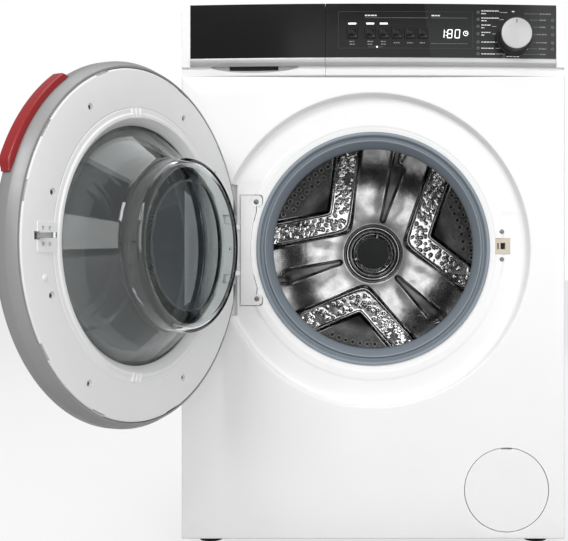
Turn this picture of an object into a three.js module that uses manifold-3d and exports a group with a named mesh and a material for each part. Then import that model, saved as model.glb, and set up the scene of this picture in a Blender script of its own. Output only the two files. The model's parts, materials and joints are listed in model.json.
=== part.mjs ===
// Front load washer-dryer with its door open, a detergent drawer, a suspended tub and a belt-driven drum.
// Millimetres, +Z up. The origin is on the floor under the middle of the front panel, +X is to the right
// when facing the door and +Y runs back into the cabinet. The drum turns about an axis along Y.
import * as THREE from "three";
import { mergeVertices } from "three/addons/utils/BufferGeometryUtils.js";
import Module from "manifold-3d";

// ---------- driving dimensions ----------
const cabinetWidth = 597;
const overallHeight = 845;
const cabinetDepth = 560;
const footHeight = 14.5;
const sheet = 1;
const joinGap = 0.3; // between pieces that touch
const frontReturn = 14; // depth of the front panel's folded sides
const sideFlange = 16;
const baseHeight = 25;
const baseBar = 55;
const topThickness = 24;
const topRim = 16;

const consoleHeight = 109.7;
const consoleBow = 11; // how far the fascia's middle stands out from its ends
const consoleReturn = 20; // depth of the fascia behind the front plane
const shellWall = 3;
const windowHeight = 84.4;
const windowMargin = 14;
const trimHeight = 11.8;
const trimProud = 5;
const skirtSetback = 5; // the fascia's band under the trim stands back from it
const drawerEdgeX = -74; // where the drawer front ends and the fascia starts

const buttonSize = 16;
const buttonTravel = 1.2;
const buttonClearance = 0.5;
const buttonDrop = 45.5; // below the top
const buttonXs = [-32.3, -4.6, 16.3, 36.2, 56.7, 76.4];
const buttonNames = ["start_pause", "dry_option", "temp_dry", "delay", "spin", "temperature"];
const knobX = 218;
const knobDrop = 52;
const knobRadius = 24.8;
const knobLength = 29;
const knobShaftRadius = 6;
const shaftClearance = 1;

const drawerTravelDepth = 215;
const drawerWall = 2.5;
const drawerClearance = 3;
const housingHeight = 74;

const portholeRadius = 178;
const gasketLip = 6; // the gasket's lip laps over the porthole's edge
const gasketClearance = 0.8;
const gasketMouthInset = 19;
const ringWidth = 59.2; // of the recess floor and its draft, outside the gasket
const recessDepth = 18;
const recessDraft = 6; // the recess floor is this much smaller in radius
const drumZ = 467;
const recessDrop = 2.5; // the recess and the door sit this much below the drum's axis
const hingePocket = 9; // extra depth of the floor beside the hinge
const hingeRelief = 7; // the pocket reaches this far past the recess's edge
const hingePocketHeight = 206;

const doorClearance = 5.2; // radial, between the door and the recess
const doorFrameDepth = 21;
const doorFillet = 10;
const doorInnerStep = 7; // the inner frame is this much smaller in radius
const doorInnerDepth = 12;
const glassInset = 21.2; // the door's glass opening is this much smaller than the porthole
const frameWall = 3.5;
const bowlTaper = 44.8; // the bowl's round end is this much smaller than its opening
const bowlDepth = 81;
const bowlShoulder = 50; // where the cone ends and the round end starts
const glassWall = 4.5;
const flangeWidth = 9;
const doorOpenAngle = 112;
const hingeInset = 22.2; // from the recess's edge to the hinge axis
const hingeForward = 12;
const pinRadius = 3;
const knuckleRadius = 5.4;
const armHeight = 12;
const armSpacing = 92;
const lugHeight = 7.4;
const handleStart = 18;
const handleEnd = 56;
const handleProud = 8;
const latchDrop = -6.5; // the latch is this much above the door's centre
const lockGap = 9.1; // from the gasket's lip to the lock
const lockWidth = 22.6;
const lockHeight = 25;
const lockDepth = 15.5;
const slotWidth = 7.4;
const slotHeight = 10;
const hookThickness = 3;

const flapX = 207.7;
const flapZ = 90.8;
const flapRadius = 65.3;
const flapThickness = 3;
const flapClearance = 0.8;
const flapCupDepth = 12;
const flapAxisInset = 60;
const filterRadius = 30;
const filterClearance = 1.2;
const pumpWall = 4;

const tubSideClearance = 37.5;
const tubTopClearance = 8.3; // under the console
const tubWall = 4;
const tubFront = 72;
const tubRearSpace = 100; // from the tub's rear wall to the rear panel
const tubJointY = 250;
const neckInset = 8; // the tub's neck is this much smaller than the porthole
const tubNeckDepth = 14;
const drumGap = 15; // between the drum and the tub
const drumSheet = 1;
const mouthClearance = 2; // the drum's mouth is this much smaller than the tub's neck
const drumFrontGap = 10;
const spiderDepth = 27;
const shaftRadius = 17;
const bearingClearance = 5;
const hubLength = 45;
const pulleyRadius = 141;
const pulleyWidth = 16;
const rotorPulleyRadius = 11;
const beltThickness = 3;
const beltWidth = 12;
const motorX = 70;
const motorDrop = 349;
const motorRadius = 62;
const motorLength = 175;
const lifterHeight = 58;
const lifterAngles = [77, 197, 317];
const liftWidth = 68;

const fine = 40; // segments of the large visible circles
const coarse = 24;
const small = 12;

// ---------- places that follow from them ----------
const halfWidth = cabinetWidth / 2;
const consoleBottom = overallHeight - consoleHeight;
const windowBottom = overallHeight - windowHeight;
const trimBottom = windowBottom - trimHeight;
const buttonZ = overallHeight - buttonDrop;
const knobZ = overallHeight - knobDrop;
const recessZ = drumZ - recessDrop;
const gasketOuter = portholeRadius + gasketLip;
const recessRadius = gasketOuter + ringWidth;
const glassHoleRadius = portholeRadius - glassInset;
const bowlRadius = glassHoleRadius - bowlTaper;
const tubNeckRadius = portholeRadius - neckInset;
const drumMouthRadius = tubNeckRadius - mouthClearance;
const floorRadius = recessRadius - recessDraft;
const hingeX = -(recessRadius - hingeInset);
const hingeY = -hingeForward;
const doorCentre = -hingeX; // distance from the hinge axis to the door's centre
const doorRadius = recessRadius - doorClearance;
const doorInnerRadius = doorRadius - doorInnerStep;
const lockX = gasketOuter + lockGap + lockWidth / 2;
const lockZ = recessZ - latchDrop;
const tubOuter = Math.min(halfWidth - sheet - tubSideClearance, consoleBottom - drumZ - tubTopClearance);
const tubInner = tubOuter - tubWall;
const tubRear = cabinetDepth - tubRearSpace;
const drumOuter = tubInner - drumGap;
const drumFrontY = tubFront + tubWall + drumFrontGap;
const drumRearY = tubRear - tubWall - spiderDepth;
const hubRadius = shaftRadius + bearingClearance + 40;
const pulleyY = tubRear + hubLength + 7;
const baseTop = footHeight + baseHeight;

// ---------- solids ----------
const wasm = await Module();
wasm.setup();

function solidOf(geometry) {
  const flat = geometry.index ? geometry.toNonIndexed() : geometry;
  const bare = new THREE.BufferGeometry().setAttribute("position", flat.getAttribute("position"));
  const merged = mergeVertices(bare, 1e-4);
  const vertProperties = merged.attributes.position.array;
  const triVerts = new Uint32Array(merged.index.array);
  return new wasm.Manifold(new wasm.Mesh({ numProp: 3, vertProperties, triVerts }));
}

function geometryOf(solid) {
  const made = solid.getMesh();
  return new THREE.BufferGeometry()
    .setAttribute("position", new THREE.BufferAttribute(made.vertProperties, 3))
    .setIndex(new THREE.BufferAttribute(made.triVerts, 1));
}

const vector = (x, y) => new THREE.Vector2(x, y);
const radians = THREE.MathUtils.degToRad;

function box(x0, x1, y0, y1, z0, z1) {
  const geometry = new THREE.BoxGeometry(x1 - x0, y1 - y0, z1 - z0);
  return solidOf(geometry.translate((x0 + x1) / 2, (y0 + y1) / 2, (z0 + z1) / 2));
}

// A closed outline of [radius, y] points turned about the Y axis.
function turned(points, segments = fine) {
  const loop = points[0][0] === 0 ? points : [...points, points[0]];
  let area = 0;
  points.forEach(([r, y], i) => {
    const [nextR, nextY] = points[(i + 1) % points.length];
    area += r * nextY - nextR * y;
  });
  const ordered = area > 0 ? loop : [...loop].reverse();
  return solidOf(new THREE.LatheGeometry(ordered.map(([r, y]) => vector(r, y)), segments));
}

// A rod or disc about an axis along Y.
const rodY = (radius, y0, y1, segments = small) =>
  turned([[0, y0], [radius, y0], [radius, y1], [0, y1]], segments);

const tubeY = (outer, inner, y0, y1, segments = small) =>
  turned([[inner, y0], [outer, y0], [outer, y1], [inner, y1]], segments);

// A rod about an axis along Z.
const rodZ = (radius, z0, z1, segments = small) =>
  solidOf(new THREE.CylinderGeometry(radius, radius, z1 - z0, segments)
    .rotateX(Math.PI / 2)
    .translate(0, 0, (z0 + z1) / 2));

// An outline in X and Y, pulled up from z0 to z1.
function pulledUp(points, z0, z1) {
  const shape = new THREE.Shape(points.map(([x, y]) => vector(x, y)));
  const geometry = new THREE.ExtrudeGeometry(shape, { depth: z1 - z0, bevelEnabled: false });
  return solidOf(geometry.translate(0, 0, z0));
}

// An outline in X and Z, pulled back from y0 to y1.
function pulledBack(points, y0, y1) {
  const shape = new THREE.Shape(points.map(([x, z]) => vector(x, z)));
  const geometry = new THREE.ExtrudeGeometry(shape, { depth: y1 - y0, bevelEnabled: false });
  return solidOf(geometry.rotateX(Math.PI / 2).translate(0, y1, 0));
}

const moved = (solid, x, y, z) => solid.translate([x, y, z]);
const joined = (...solids) => solids.reduce((sum, solid) => sum.add(solid));

function arc(cx, cy, radius, from, to, steps) {
  return Array.from({ length: steps + 1 }, (_, i) => {
    const angle = radians(from + ((to - from) * i) / steps);
    return [cx + radius * Math.cos(angle), cy + radius * Math.sin(angle)];
  });
}

// ---------- materials ----------
function material(color, roughness, metalness = 0, extra = {}) {
  return new THREE.MeshStandardMaterial({ color, roughness, metalness, ...extra });
}

const whiteEnamel = material("#f4f4f4", 0.35);
const whitePlastic = material("#efefef", 0.45);
const ringPlastic = material("#e6e6e6", 0.5);
const glossBlack = material("#1e1e1e", 0.12);
const silverPlastic = material("#b4b4b4", 0.4, 0.3);
const redPlastic = material("#9e2b2b", 0.4);
const greyRubber = material("#8b949c", 0.75);
const beigePlastic = material("#d3c8b8", 0.55);
const clearGlass = material("#dfe6e8", 0.05, 0, { transparent: true, opacity: 0.35 });
const smokedPlastic = material("#3a3c3c", 0.1, 0, { transparent: true, opacity: 0.6 });
const steel = material("#9c9c9c", 0.3, 1);
const galvanised = material("#b9bdbf", 0.5, 0.8);
const greyPlastic = material("#6a6f73", 0.6);
const concrete = material("#a9a49b", 0.95);
const castAluminium = material("#a5a8aa", 0.5, 0.9);
const blackRubber = material("#1c1c1c", 0.85);
const boardGreen = material("#2f6a3d", 0.6);

const washer = new THREE.Group();

function add(name, solid, look, parent = washer) {
  const mesh = new THREE.Mesh(geometryOf(solid), look);
  mesh.name = name;
  parent.add(mesh);
  return mesh;
}

function groupAt(x, y, z, parent = washer) {
  const group = new THREE.Group();
  group.position.set(x, y, z);
  parent.add(group);
  return group;
}

// ---------- cabinet ----------
// A sheet with the door's dished recess, the porthole, the hinge pocket, the lock's hole and the flap's cup.
function frontPanel() {
  const top = consoleBottom - joinGap;
  const skin = box(-halfWidth, halfWidth, 0, sheet, footHeight, top);
  const returnBox = (x0, x1) => box(x0, x1, 0, frontReturn, footHeight, top);
  const recess = turned([
    [portholeRadius - 20, recessDepth], [floorRadius, recessDepth], [recessRadius, 0],
    [recessRadius + sheet, 0], [recessRadius + sheet, sheet], [floorRadius + sheet, recessDepth + sheet],
    [portholeRadius - 20, recessDepth + sheet],
  ]);
  const pocketDepth = recessDepth + hingePocket;
  const pocketRadius = recessRadius + hingeRelief;
  const pocketX = hingeX + knuckleRadius + 1.5;
  const half = hingePocketHeight / 2;
  const pocketBack = pocketDepth + sheet;
  const pocketFloor = box(-halfWidth, pocketX + sheet, recessDepth, pocketBack, -half - sheet, half + sheet)
    .intersect(rodY(pocketRadius + sheet, recessDepth, pocketBack, fine));
  const pocketEdge = tubeY(pocketRadius + sheet, recessRadius - 2, 0, pocketBack, fine)
    .intersect(box(-halfWidth, pocketX, 0, pocketBack, -half - sheet, half + sheet));
  const pocketHollow = box(-halfWidth, pocketX, -1, pocketDepth, -half, half)
    .intersect(rodY(pocketRadius, -1, pocketDepth, fine));
  const dish = joined(recess, pocketFloor, pocketEdge);
  const rim = tubeY(portholeRadius, portholeRadius - sheet, recessDepth, recessDepth + 7, fine);
  const cup = joined(
    tubeY(flapRadius + flapClearance + sheet, flapRadius + flapClearance, 0, flapCupDepth, coarse),
    tubeY(flapRadius + flapClearance + sheet, filterRadius + 12, flapCupDepth - sheet, flapCupDepth, coarse),
  );
  const wide = lockWidth / 2 + joinGap;
  const high = lockHeight / 2 + joinGap;
  return joined(skin, returnBox(-halfWidth, -halfWidth + sheet), returnBox(halfWidth - sheet, halfWidth))
    .subtract(moved(rodY(recessRadius + sheet / 2, -1, sheet + 1, fine), 0, 0, recessZ))
    .subtract(moved(rodY(flapRadius + flapClearance + sheet / 2, -1, sheet + 1, coarse), flapX, 0, flapZ))
    .add(moved(dish, 0, 0, recessZ))
    .subtract(moved(pocketHollow, 0, 0, recessZ))
    .add(moved(cup, flapX, 0, flapZ))
    .subtract(moved(rodY(portholeRadius - sheet / 2, 0, recessDepth + 5, fine), 0, 0, drumZ))
    .add(moved(rim, 0, 0, drumZ))
    .subtract(box(lockX - wide, lockX + wide, 0, recessDepth + 5, lockZ - high, lockZ + high));
}
add("front_panel", frontPanel(), whiteEnamel);

const springX = tubOuter - 19;
const springY = tubJointY + 50;
const springTop = overallHeight - topThickness - 21;
const sideBottom = baseTop + joinGap;
const sideTop = overallHeight - topThickness - joinGap;
const sideFront = frontReturn + joinGap;
const sideBack = cabinetDepth - sheet - joinGap;

// A folded sheet, seen from above, with a small shelf that its suspension spring hangs from.
function sidePanel(side) {
  const outline = [
    [halfWidth, sideFront], [halfWidth, sideBack], [halfWidth - sideFlange, sideBack],
    [halfWidth - sideFlange, sideBack - sheet], [halfWidth - sheet, sideBack - sheet],
    [halfWidth - sheet, sideFront + sheet], [halfWidth - sideFlange, sideFront + sheet],
    [halfWidth - sideFlange, sideFront],
  ];
  const shelf = box(springX - 12, halfWidth - sheet / 2, springY - 12, springY + 12,
    springTop + joinGap, springTop + joinGap + 3);
  const notchBack = consoleReturn + joinGap;
  const consoleNotch = box(0, halfWidth + 1, 0, notchBack, consoleBottom - joinGap, overallHeight);
  const right = joined(pulledUp(outline, sideBottom, sideTop), shelf).subtract(consoleNotch);
  return side > 0 ? right : right.mirror([1, 0, 0]);
}
add("left_side_panel", sidePanel(-1), whiteEnamel);
add("right_side_panel", sidePanel(1), whiteEnamel);

const serviceRadius = pulleyRadius + 22;
const serviceZ = drumZ - 10;
const valveX = -halfWidth + 98;
const valveZ = overallHeight - 55;
const glandX = halfWidth - 60;
const glandZ = overallHeight - 75;
const outletX = halfWidth - 70;
const outletZ = overallHeight - 150;
const stubRadius = 13;
const glandRadius = 9;
const portClearance = 0.6;

function rearPanel() {
  const port = (radius, x, z) =>
    moved(rodY(radius + portClearance, cabinetDepth - 3, cabinetDepth + 1), x, 0, z);
  return box(-halfWidth, halfWidth, cabinetDepth - sheet, cabinetDepth, sideBottom, sideTop)
    .subtract(moved(rodY(serviceRadius, cabinetDepth - 3, cabinetDepth + 1, coarse), 0, 0, serviceZ))
    .subtract(port(stubRadius, valveX, valveZ))
    .subtract(port(glandRadius, glandX, glandZ))
    .subtract(port(stubRadius, outletX, outletZ));
}
add("rear_panel", rearPanel(), galvanised);

const coverY = cabinetDepth + joinGap;
const coverDome = 11;
add("rear_service_cover", moved(turned([
  [0, coverY + coverDome], [serviceRadius - 30, coverY + coverDome], [serviceRadius - 12, coverY],
  [serviceRadius + 12, coverY], [serviceRadius + 12, coverY + sheet],
  [serviceRadius - 11, coverY + sheet], [serviceRadius - 29, coverY + coverDome + sheet],
  [0, coverY + coverDome + sheet],
], coarse), 0, 0, serviceZ), galvanised);

const topFront = consoleReturn + joinGap;
add("top_cover",
  box(-halfWidth, halfWidth, topFront, cabinetDepth, overallHeight - topThickness, overallHeight)
    .subtract(box(-halfWidth + topRim, halfWidth - topRim, topFront + topRim, cabinetDepth - topRim,
      overallHeight - topThickness - 1, overallHeight - topThickness / 2)),
  whitePlastic);

const footInset = 38;
const stemRadius = 5;
const stemClearance = 0.3;
const footXs = [-halfWidth + footInset, halfWidth - footInset];
const footYs = [frontReturn + footInset, cabinetDepth - footInset];

function baseFrame() {
  const outerX = halfWidth - sheet - joinGap;
  const front = frontReturn + sheet + joinGap * 2;
  const back = cabinetDepth;
  const frame = box(-outerX, outerX, front, back, footHeight, baseTop)
    .subtract(box(-outerX + baseBar, outerX - baseBar, front + baseBar, back - baseBar,
      footHeight - 1, baseTop + 1));
  return footXs.flatMap((x) => footYs.map((y) => [x, y]))
    .reduce((rest, [x, y]) =>
      rest.subtract(moved(rodZ(stemRadius + stemClearance, footHeight - 1, baseTop + 1), x, y, 0)), frame);
}
add("base_frame", baseFrame(), greyPlastic);

footYs.forEach((y, row) => footXs.forEach((x, column) => {
  const name = ["front", "rear"][row] + "_" + ["left", "right"][column] + "_foot";
  const foot = joined(rodZ(19, 0, 7, small), rodZ(stemRadius, 6, baseTop - 2, small));
  add(name, foot, blackRubber, groupAt(x, y, 0));
}));

// ---------- control console ----------
// The fascia's front face bows forward: its y at a given x.
const bowY = (x) => -consoleBow * (1 - (x / halfWidth) ** 2);

// A curved wall between x0 and x1 that follows the bow, from `front` to `back` behind the bowed face.
function bowedWall(x0, x1, front, back, z0, z1, steps = 12) {
  const xs = Array.from({ length: steps + 1 }, (_, i) => x0 + ((x1 - x0) * i) / steps);
  const face = xs.map((x) => [x, bowY(x) + front]);
  const inside = xs.map((x) => [x, bowY(x) + back]).reverse();
  return pulledUp([...face, ...inside], z0, z1);
}

// A block whose front follows the bow and whose back is flat at the fascia's depth.
function bowedBlock(x0, x1, front, back, z0, z1, steps = 12) {
  const xs = Array.from({ length: steps + 1 }, (_, i) => x0 + ((x1 - x0) * i) / steps);
  const face = xs.map((x) => [x, bowY(x) + front]);
  return pulledUp([...face, [x1, back], [x0, back]], z0, z1);
}

const windowThickness = 3;
const fasciaLeft = drawerEdgeX + joinGap;
const windowRight = halfWidth - windowMargin;

// What is cut from the window and the fascia for the buttons' caps and the knob's shaft.
function controlHoles() {
  const back = consoleReturn - 4;
  const reach = buttonSize / 2 + buttonClearance;
  const shaft = moved(rodY(knobShaftRadius + shaftClearance, -30, back), knobX, 0, knobZ);
  const caps = buttonXs.map((x) => box(x - reach, x + reach, -30, back, buttonZ - reach, buttonZ + reach));
  return joined(shaft, ...caps);
}

function consoleFascia() {
  const seat = windowThickness + joinGap;
  const body = joined(
    bowedBlock(fasciaLeft, halfWidth, 0, consoleReturn, trimBottom, overallHeight),
    bowedBlock(fasciaLeft, halfWidth, skirtSetback, consoleReturn, consoleBottom, trimBottom),
  );
  const hollow = bowedBlock(fasciaLeft + shellWall, halfWidth - shellWall, seat + shellWall,
    consoleReturn + 1, consoleBottom + shellWall, overallHeight - shellWall);
  const windowSeat = bowedWall(fasciaLeft - 1, windowRight + joinGap, -10, seat,
    trimBottom - joinGap, overallHeight + 1);
  return body.subtract(hollow).subtract(windowSeat).subtract(controlHoles());
}
add("console_fascia", consoleFascia(), whitePlastic);

function consoleWindow() {
  return bowedWall(fasciaLeft, windowRight, 0, windowThickness, windowBottom + joinGap, overallHeight)
    .subtract(controlHoles());
}
add("console_window", consoleWindow(), glossBlack);
add("console_trim",
  bowedWall(fasciaLeft, windowRight, -trimProud, windowThickness, trimBottom, windowBottom), silverPlastic);

buttonXs.forEach((x, i) => {
  const button = groupAt(x, bowY(x), buttonZ);
  const reach = buttonSize / 2;
  const cap = joined(
    box(-reach, reach, -1.6, 5, -reach, reach),
    box(-2.5, 2.5, 4, 13, -2.5, 2.5),
  );
  add("button_" + buttonNames[i], cap, glossBlack, button);
});

// The knob stands clear of the bowed window at its own rim nearest the middle.
const knobSkirt = knobRadius + 2.2;
const knobBack = bowY(knobX - knobSkirt) - 0.8;
add("program_knob", turned([
  [0, -knobLength], [knobRadius - 2, -knobLength], [knobRadius, 2 - knobLength],
  [knobRadius + 0.7, -4], [knobSkirt, -3], [knobSkirt, 0],
  [knobShaftRadius, 0], [knobShaftRadius, 20], [0, 20],
], coarse), silverPlastic, groupAt(knobX, knobBack, knobZ));

const boardBack = consoleReturn - joinGap;
const boardLeft = fasciaLeft + shellWall + 3;
const boardTop = overallHeight - 12;
add("control_board", joined(
  box(boardLeft, halfWidth - 22, boardBack - 2, boardBack, windowBottom + 4, boardTop),
  box(107, 152, boardBack - 8, boardBack - 1, windowBottom + 26, windowBottom + 52),
), boardGreen);

// ---------- detergent drawer ----------
const housingLeft = -halfWidth + sheet + 6;
const housingRight = drawerEdgeX - 6;
const housingBottom = consoleBottom + 6;
const housingTop = housingBottom + housingHeight;
const housingFront = consoleReturn + 2;
const housingBack = housingFront + drawerTravelDepth + 12;
const trayLeft = housingLeft + drawerWall + drawerClearance;
const trayRight = housingRight - drawerWall - drawerClearance;
const trayBottom = housingBottom + drawerWall + drawerClearance;
const trayTop = housingTop - drawerWall - 12;
const trayFront = consoleReturn + joinGap;
const trayBack = trayFront + drawerTravelDepth;

add("drawer_housing",
  box(housingLeft, housingRight, housingFront, housingBack, housingBottom, housingTop)
    .subtract(box(housingLeft + drawerWall, housingRight - drawerWall, housingFront - 1,
      housingBack - drawerWall, housingBottom + drawerWall, housingTop - drawerWall))
    .add(moved(tubeY(9, 6.5, 0, 30), housingLeft + 60, housingBack - 1, housingTop - 16)),
  greyPlastic);

// The drawer's front carries the left end of the window and of the trim, above a scooped grip.
function drawerFront() {
  const right = drawerEdgeX - joinGap;
  const body = joined(
    bowedBlock(-halfWidth, right, 0, consoleReturn, trimBottom, overallHeight),
    bowedBlock(-halfWidth, right, skirtSetback, consoleReturn, consoleBottom, trimBottom + 1),
    bowedWall(-windowRight, right, -trimProud, 1, trimBottom, windowBottom),
  );
  const hollow = bowedBlock(-halfWidth + shellWall, right - shellWall, 6, consoleReturn - shellWall,
    windowBottom, overallHeight - shellWall);
  const grip = box(-252, -116, -consoleBow, consoleReturn - 6, consoleBottom + 4, trimBottom + 4);
  const gripBack = box(-250, -118, -2, 8, trimBottom - 1, windowBottom - 3);
  const vent = box(-225, -150, 10, consoleReturn + 1, windowBottom + 10, overallHeight - 20);
  return body.subtract(hollow).subtract(grip).subtract(gripBack).subtract(vent);
}
add("drawer_front", drawerFront(), whitePlastic);

const dividers = [1 / 3, 2 / 3].map((share) => trayLeft + (trayRight - trayLeft) * share);
function drawerTray() {
  const walls = [trayLeft, ...dividers, trayRight];
  let tray = box(trayLeft, trayRight, trayFront, trayBack, trayBottom, trayTop);
  for (let i = 0; i < 3; i++) {
    tray = tray.subtract(box(walls[i] + drawerWall, walls[i + 1] - drawerWall, trayFront + drawerWall,
      trayBack - drawerWall, trayBottom + drawerWall, trayTop + 1));
  }
  return tray;
}
add("drawer_tray", drawerTray(), whitePlastic);

// ---------- door furniture on the cabinet ----------
function doorLock() {
  const front = recessDepth - 1;
  const body = box(-lockWidth / 2, lockWidth / 2, front, front + lockDepth, -lockHeight / 2, lockHeight / 2);
  const slotEnd = front + lockDepth - 2;
  const hookSlot = box(-slotWidth / 2, slotWidth / 2, front - 1, slotEnd, -slotHeight / 2, slotHeight / 2);
  const bolt = box(-8.6, -6.6, front - 1, slotEnd - 3, -slotHeight / 2, slotHeight / 2);
  return body.subtract(hookSlot).subtract(bolt);
}
add("door_lock", doorLock(), beigePlastic, groupAt(lockX, 0, lockZ));

const armZs = [-armSpacing / 2, armSpacing / 2];
const bracketHeight = 173;
const bracketWidth = 39;
const bracketThickness = 3;

// A plate on the recess floor with two lugs that reach forward to the hinge pin.
function hingeBracket() {
  const back = recessDepth - joinGap;
  const left = hingeX + knuckleRadius + 2;
  const half = bracketHeight / 2;
  const plate = box(left, left + bracketWidth, back - bracketThickness, back, -half, half)
    .subtract(moved(rodY(gasketOuter + 3, 0, recessDepth, fine), 0, 0, recessDrop));
  let bracket = plate;
  for (const z of armZs) {
    const inner = z - Math.sign(z) * (armHeight / 2 + joinGap);
    const outer = inner - Math.sign(z) * lugHeight;
    const z0 = Math.min(inner, outer);
    const z1 = Math.max(inner, outer);
    const lug = joined(
      moved(rodZ(knuckleRadius, z0, z1), hingeX, hingeY, 0),
      box(hingeX - knuckleRadius + 0.4, hingeX + knuckleRadius - 0.4, hingeY, back, z0, z1),
      box(hingeX - knuckleRadius + 0.4, left + 4, back - bracketThickness, back, z0, z1),
    );
    bracket = bracket.add(lug);
  }
  return bracket.subtract(moved(
    rodZ(pinRadius + joinGap, -half, half), hingeX, hingeY, 0));
}
add("hinge_bracket", hingeBracket(), whitePlastic, groupAt(0, 0, recessZ));
const pinHalf = armSpacing / 2 + armHeight / 2 + 3;
add("hinge_pin", rodZ(pinRadius, -pinHalf, pinHalf), steel, groupAt(hingeX, hingeY, recessZ));

// ---------- door, drawn closed about the hinge axis and then swung open ----------
const door = groupAt(hingeX, hingeY, recessZ);
door.rotation.z = -radians(doorOpenAngle);
const chordInner = knuckleRadius + 2.6; // the inner frame ends in a straight edge beside the pin
const chordOuter = -2;
const faceW = doorInnerDepth - 1.2; // the inner face, behind the hinge axis
const frameFront = -doorFrameDepth - 1.5;
const windowRadius = glassHoleRadius + 15;
const lidDome = 3.5;

function doorOuterFrame() {
  const round = arc(doorRadius - doorFillet, frameFront + doorFillet, doorFillet, -90, 0, 5);
  const ring = turned([
    [windowRadius + joinGap, frameFront + 1.5], ...round, [doorRadius, -1.5], [doorRadius - frameWall, -1.5],
    [doorRadius - frameWall, frameFront + doorFillet + 2],
    [doorRadius - doorFillet, frameFront + frameWall + 1],
    [windowRadius + joinGap, frameFront + frameWall + 1],
  ]);
  const hingeCut = box(-60, chordOuter, frameFront + 6.5, 20, -95, 95);
  return moved(ring, doorCentre, 0, 0).subtract(hingeCut);
}

function doorInnerFrame() {
  const ring = turned([
    [glassHoleRadius, -1.2], [doorInnerRadius, -1.2], [doorInnerRadius, faceW - 1.5],
    [doorInnerRadius - 1.5, faceW], [glassHoleRadius + 15, faceW], [glassHoleRadius + 13, faceW + 1.5],
    [glassHoleRadius + 10, faceW + 1.5], [glassHoleRadius, 1.5],
  ]);
  let frame = moved(ring, doorCentre, 0, 0).subtract(box(-60, chordInner, -10, 20, -120, 120));
  for (const z of armZs) {
    frame = frame.subtract(box(-1, 43, -10, 20, z - armHeight / 2 - 1, z + armHeight / 2 + 1));
  }
  const hookX = lockX - hingeX;
  return frame.subtract(box(hookX - 8, hookX + 6, -10, 20, -latchDrop - 7, -latchDrop + 7));
}

function doorGlass() {
  const outer = [
    [glassHoleRadius + flangeWidth, -6.5], [glassHoleRadius + flangeWidth, -1.8], [glassHoleRadius - 1, -1.8],
    [bowlRadius, bowlShoulder], [bowlRadius, bowlDepth - 8],
    ...arc(bowlRadius - 8, bowlDepth - 8, 8, 0, 90, 3).slice(1), [bowlRadius - 20, bowlDepth - 3],
    [0, bowlDepth - 9],
  ];
  const inner = [
    [0, bowlDepth - 9 - glassWall], [bowlRadius - 19, bowlDepth - 3 - glassWall],
    [bowlRadius - 8, bowlDepth - glassWall], [bowlRadius - glassWall, bowlDepth - 9],
    [bowlRadius - glassWall, bowlShoulder - 1], [glassHoleRadius - 1 - glassWall, -6.5],
  ];
  return moved(turned([...inner, ...outer]), doorCentre, 0, 0);
}

function doorWindow() {
  const front = frameFront - 2;
  const domed = [0, 0.35, 0.7, 1].map((share) => [windowRadius * share, front + lidDome * share ** 2]);
  return moved(turned([...domed, [windowRadius, frameFront + 4], [0, frameFront + 1]]), doorCentre, 0, 0);
}

function doorHandle() {
  const inside = doorRadius + joinGap;
  const outside = doorRadius + handleProud;
  const turn = handleEnd - handleStart;
  const outline = [
    ...arc(doorCentre, 0, outside, handleStart + 1.6, handleEnd - 1.6, Math.round(turn / 3)),
    ...arc(doorCentre, 0, inside, handleEnd, handleStart, Math.round(turn / 3)),
  ];
  return pulledBack(outline, frameFront + 2, -4);
}

function hingeArms() {
  const strap = box(12, 30, -6, -1.8, armZs[0] - armHeight / 2, armZs[1] + armHeight / 2);
  let arms = strap;
  for (const z of armZs) {
    const z0 = z - armHeight / 2;
    const z1 = z + armHeight / 2;
    arms = arms
      .add(box(0, 30, -knuckleRadius + 0.4, knuckleRadius - 0.4, z0, z1))
      .add(box(12, 30, -6, faceW - 2, z0, z1))
      .add(rodZ(knuckleRadius, z0, z1));
  }
  return arms.subtract(rodZ(pinRadius + joinGap, armZs[0] - armHeight, armZs[1] + armHeight));
}

add("door_outer_frame", doorOuterFrame(), silverPlastic, door);
add("door_inner_frame", doorInnerFrame(), ringPlastic, door);
add("door_glass", doorGlass(), clearGlass, door);
add("door_outer_window", doorWindow(), smokedPlastic, door);
add("door_handle", doorHandle(), redPlastic, door);
add("door_hinge_arms", hingeArms(), whitePlastic, door);

// The latch hook pivots on its own pin inside the door and reaches into the lock's slot.
const hookReach = recessDepth + hingeForward + 8;
const hook = groupAt(lockX - hingeX, 0, -latchDrop, door);
const half = hookThickness / 2;
add("latch_hook", joined(
  rodZ(3.2, -3, 3),
  box(-half, half, 0, hookReach, -3, 3),
  box(-half, half + 1.3, hookReach - 4, hookReach, -3, 3),
), steel, hook);

// ---------- pump, its filter and the flap over it ----------
const pump = groupAt(flapX, 0, flapZ);
const pumpFront = flapCupDepth + 2;
const filterBore = filterRadius + filterClearance;
const pumpOuter = filterBore + pumpWall;
add("drain_pump", turned([
  [0, pumpFront + 96], [filterBore, pumpFront + 96], [filterBore, pumpFront], [pumpOuter, pumpFront],
  [pumpOuter, pumpFront + 92], [pumpOuter + 10, pumpFront + 98], [pumpOuter + 10, pumpFront + 124],
  [pumpOuter - 6, pumpFront + 126], [pumpOuter - 6, pumpFront + 170], [0, pumpFront + 170],
], coarse), greyPlastic, pump);
add("pump_filter", joined(
  rodY(filterRadius, pumpFront - 2, pumpFront + 12, coarse),
  rodY(filterRadius - 6, pumpFront + 11, pumpFront + 82, small),
  box(-filterRadius + 6, filterRadius - 6, flapThickness + 3, pumpFront - 1, -4, 4),
), whitePlastic, pump);
const fingerSlot = 16.5;
const flapAxis = -flapAxisInset;
const flap = groupAt(0, 1, flapAxis, pump);
const flapTop = flapRadius - flapAxis;
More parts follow.
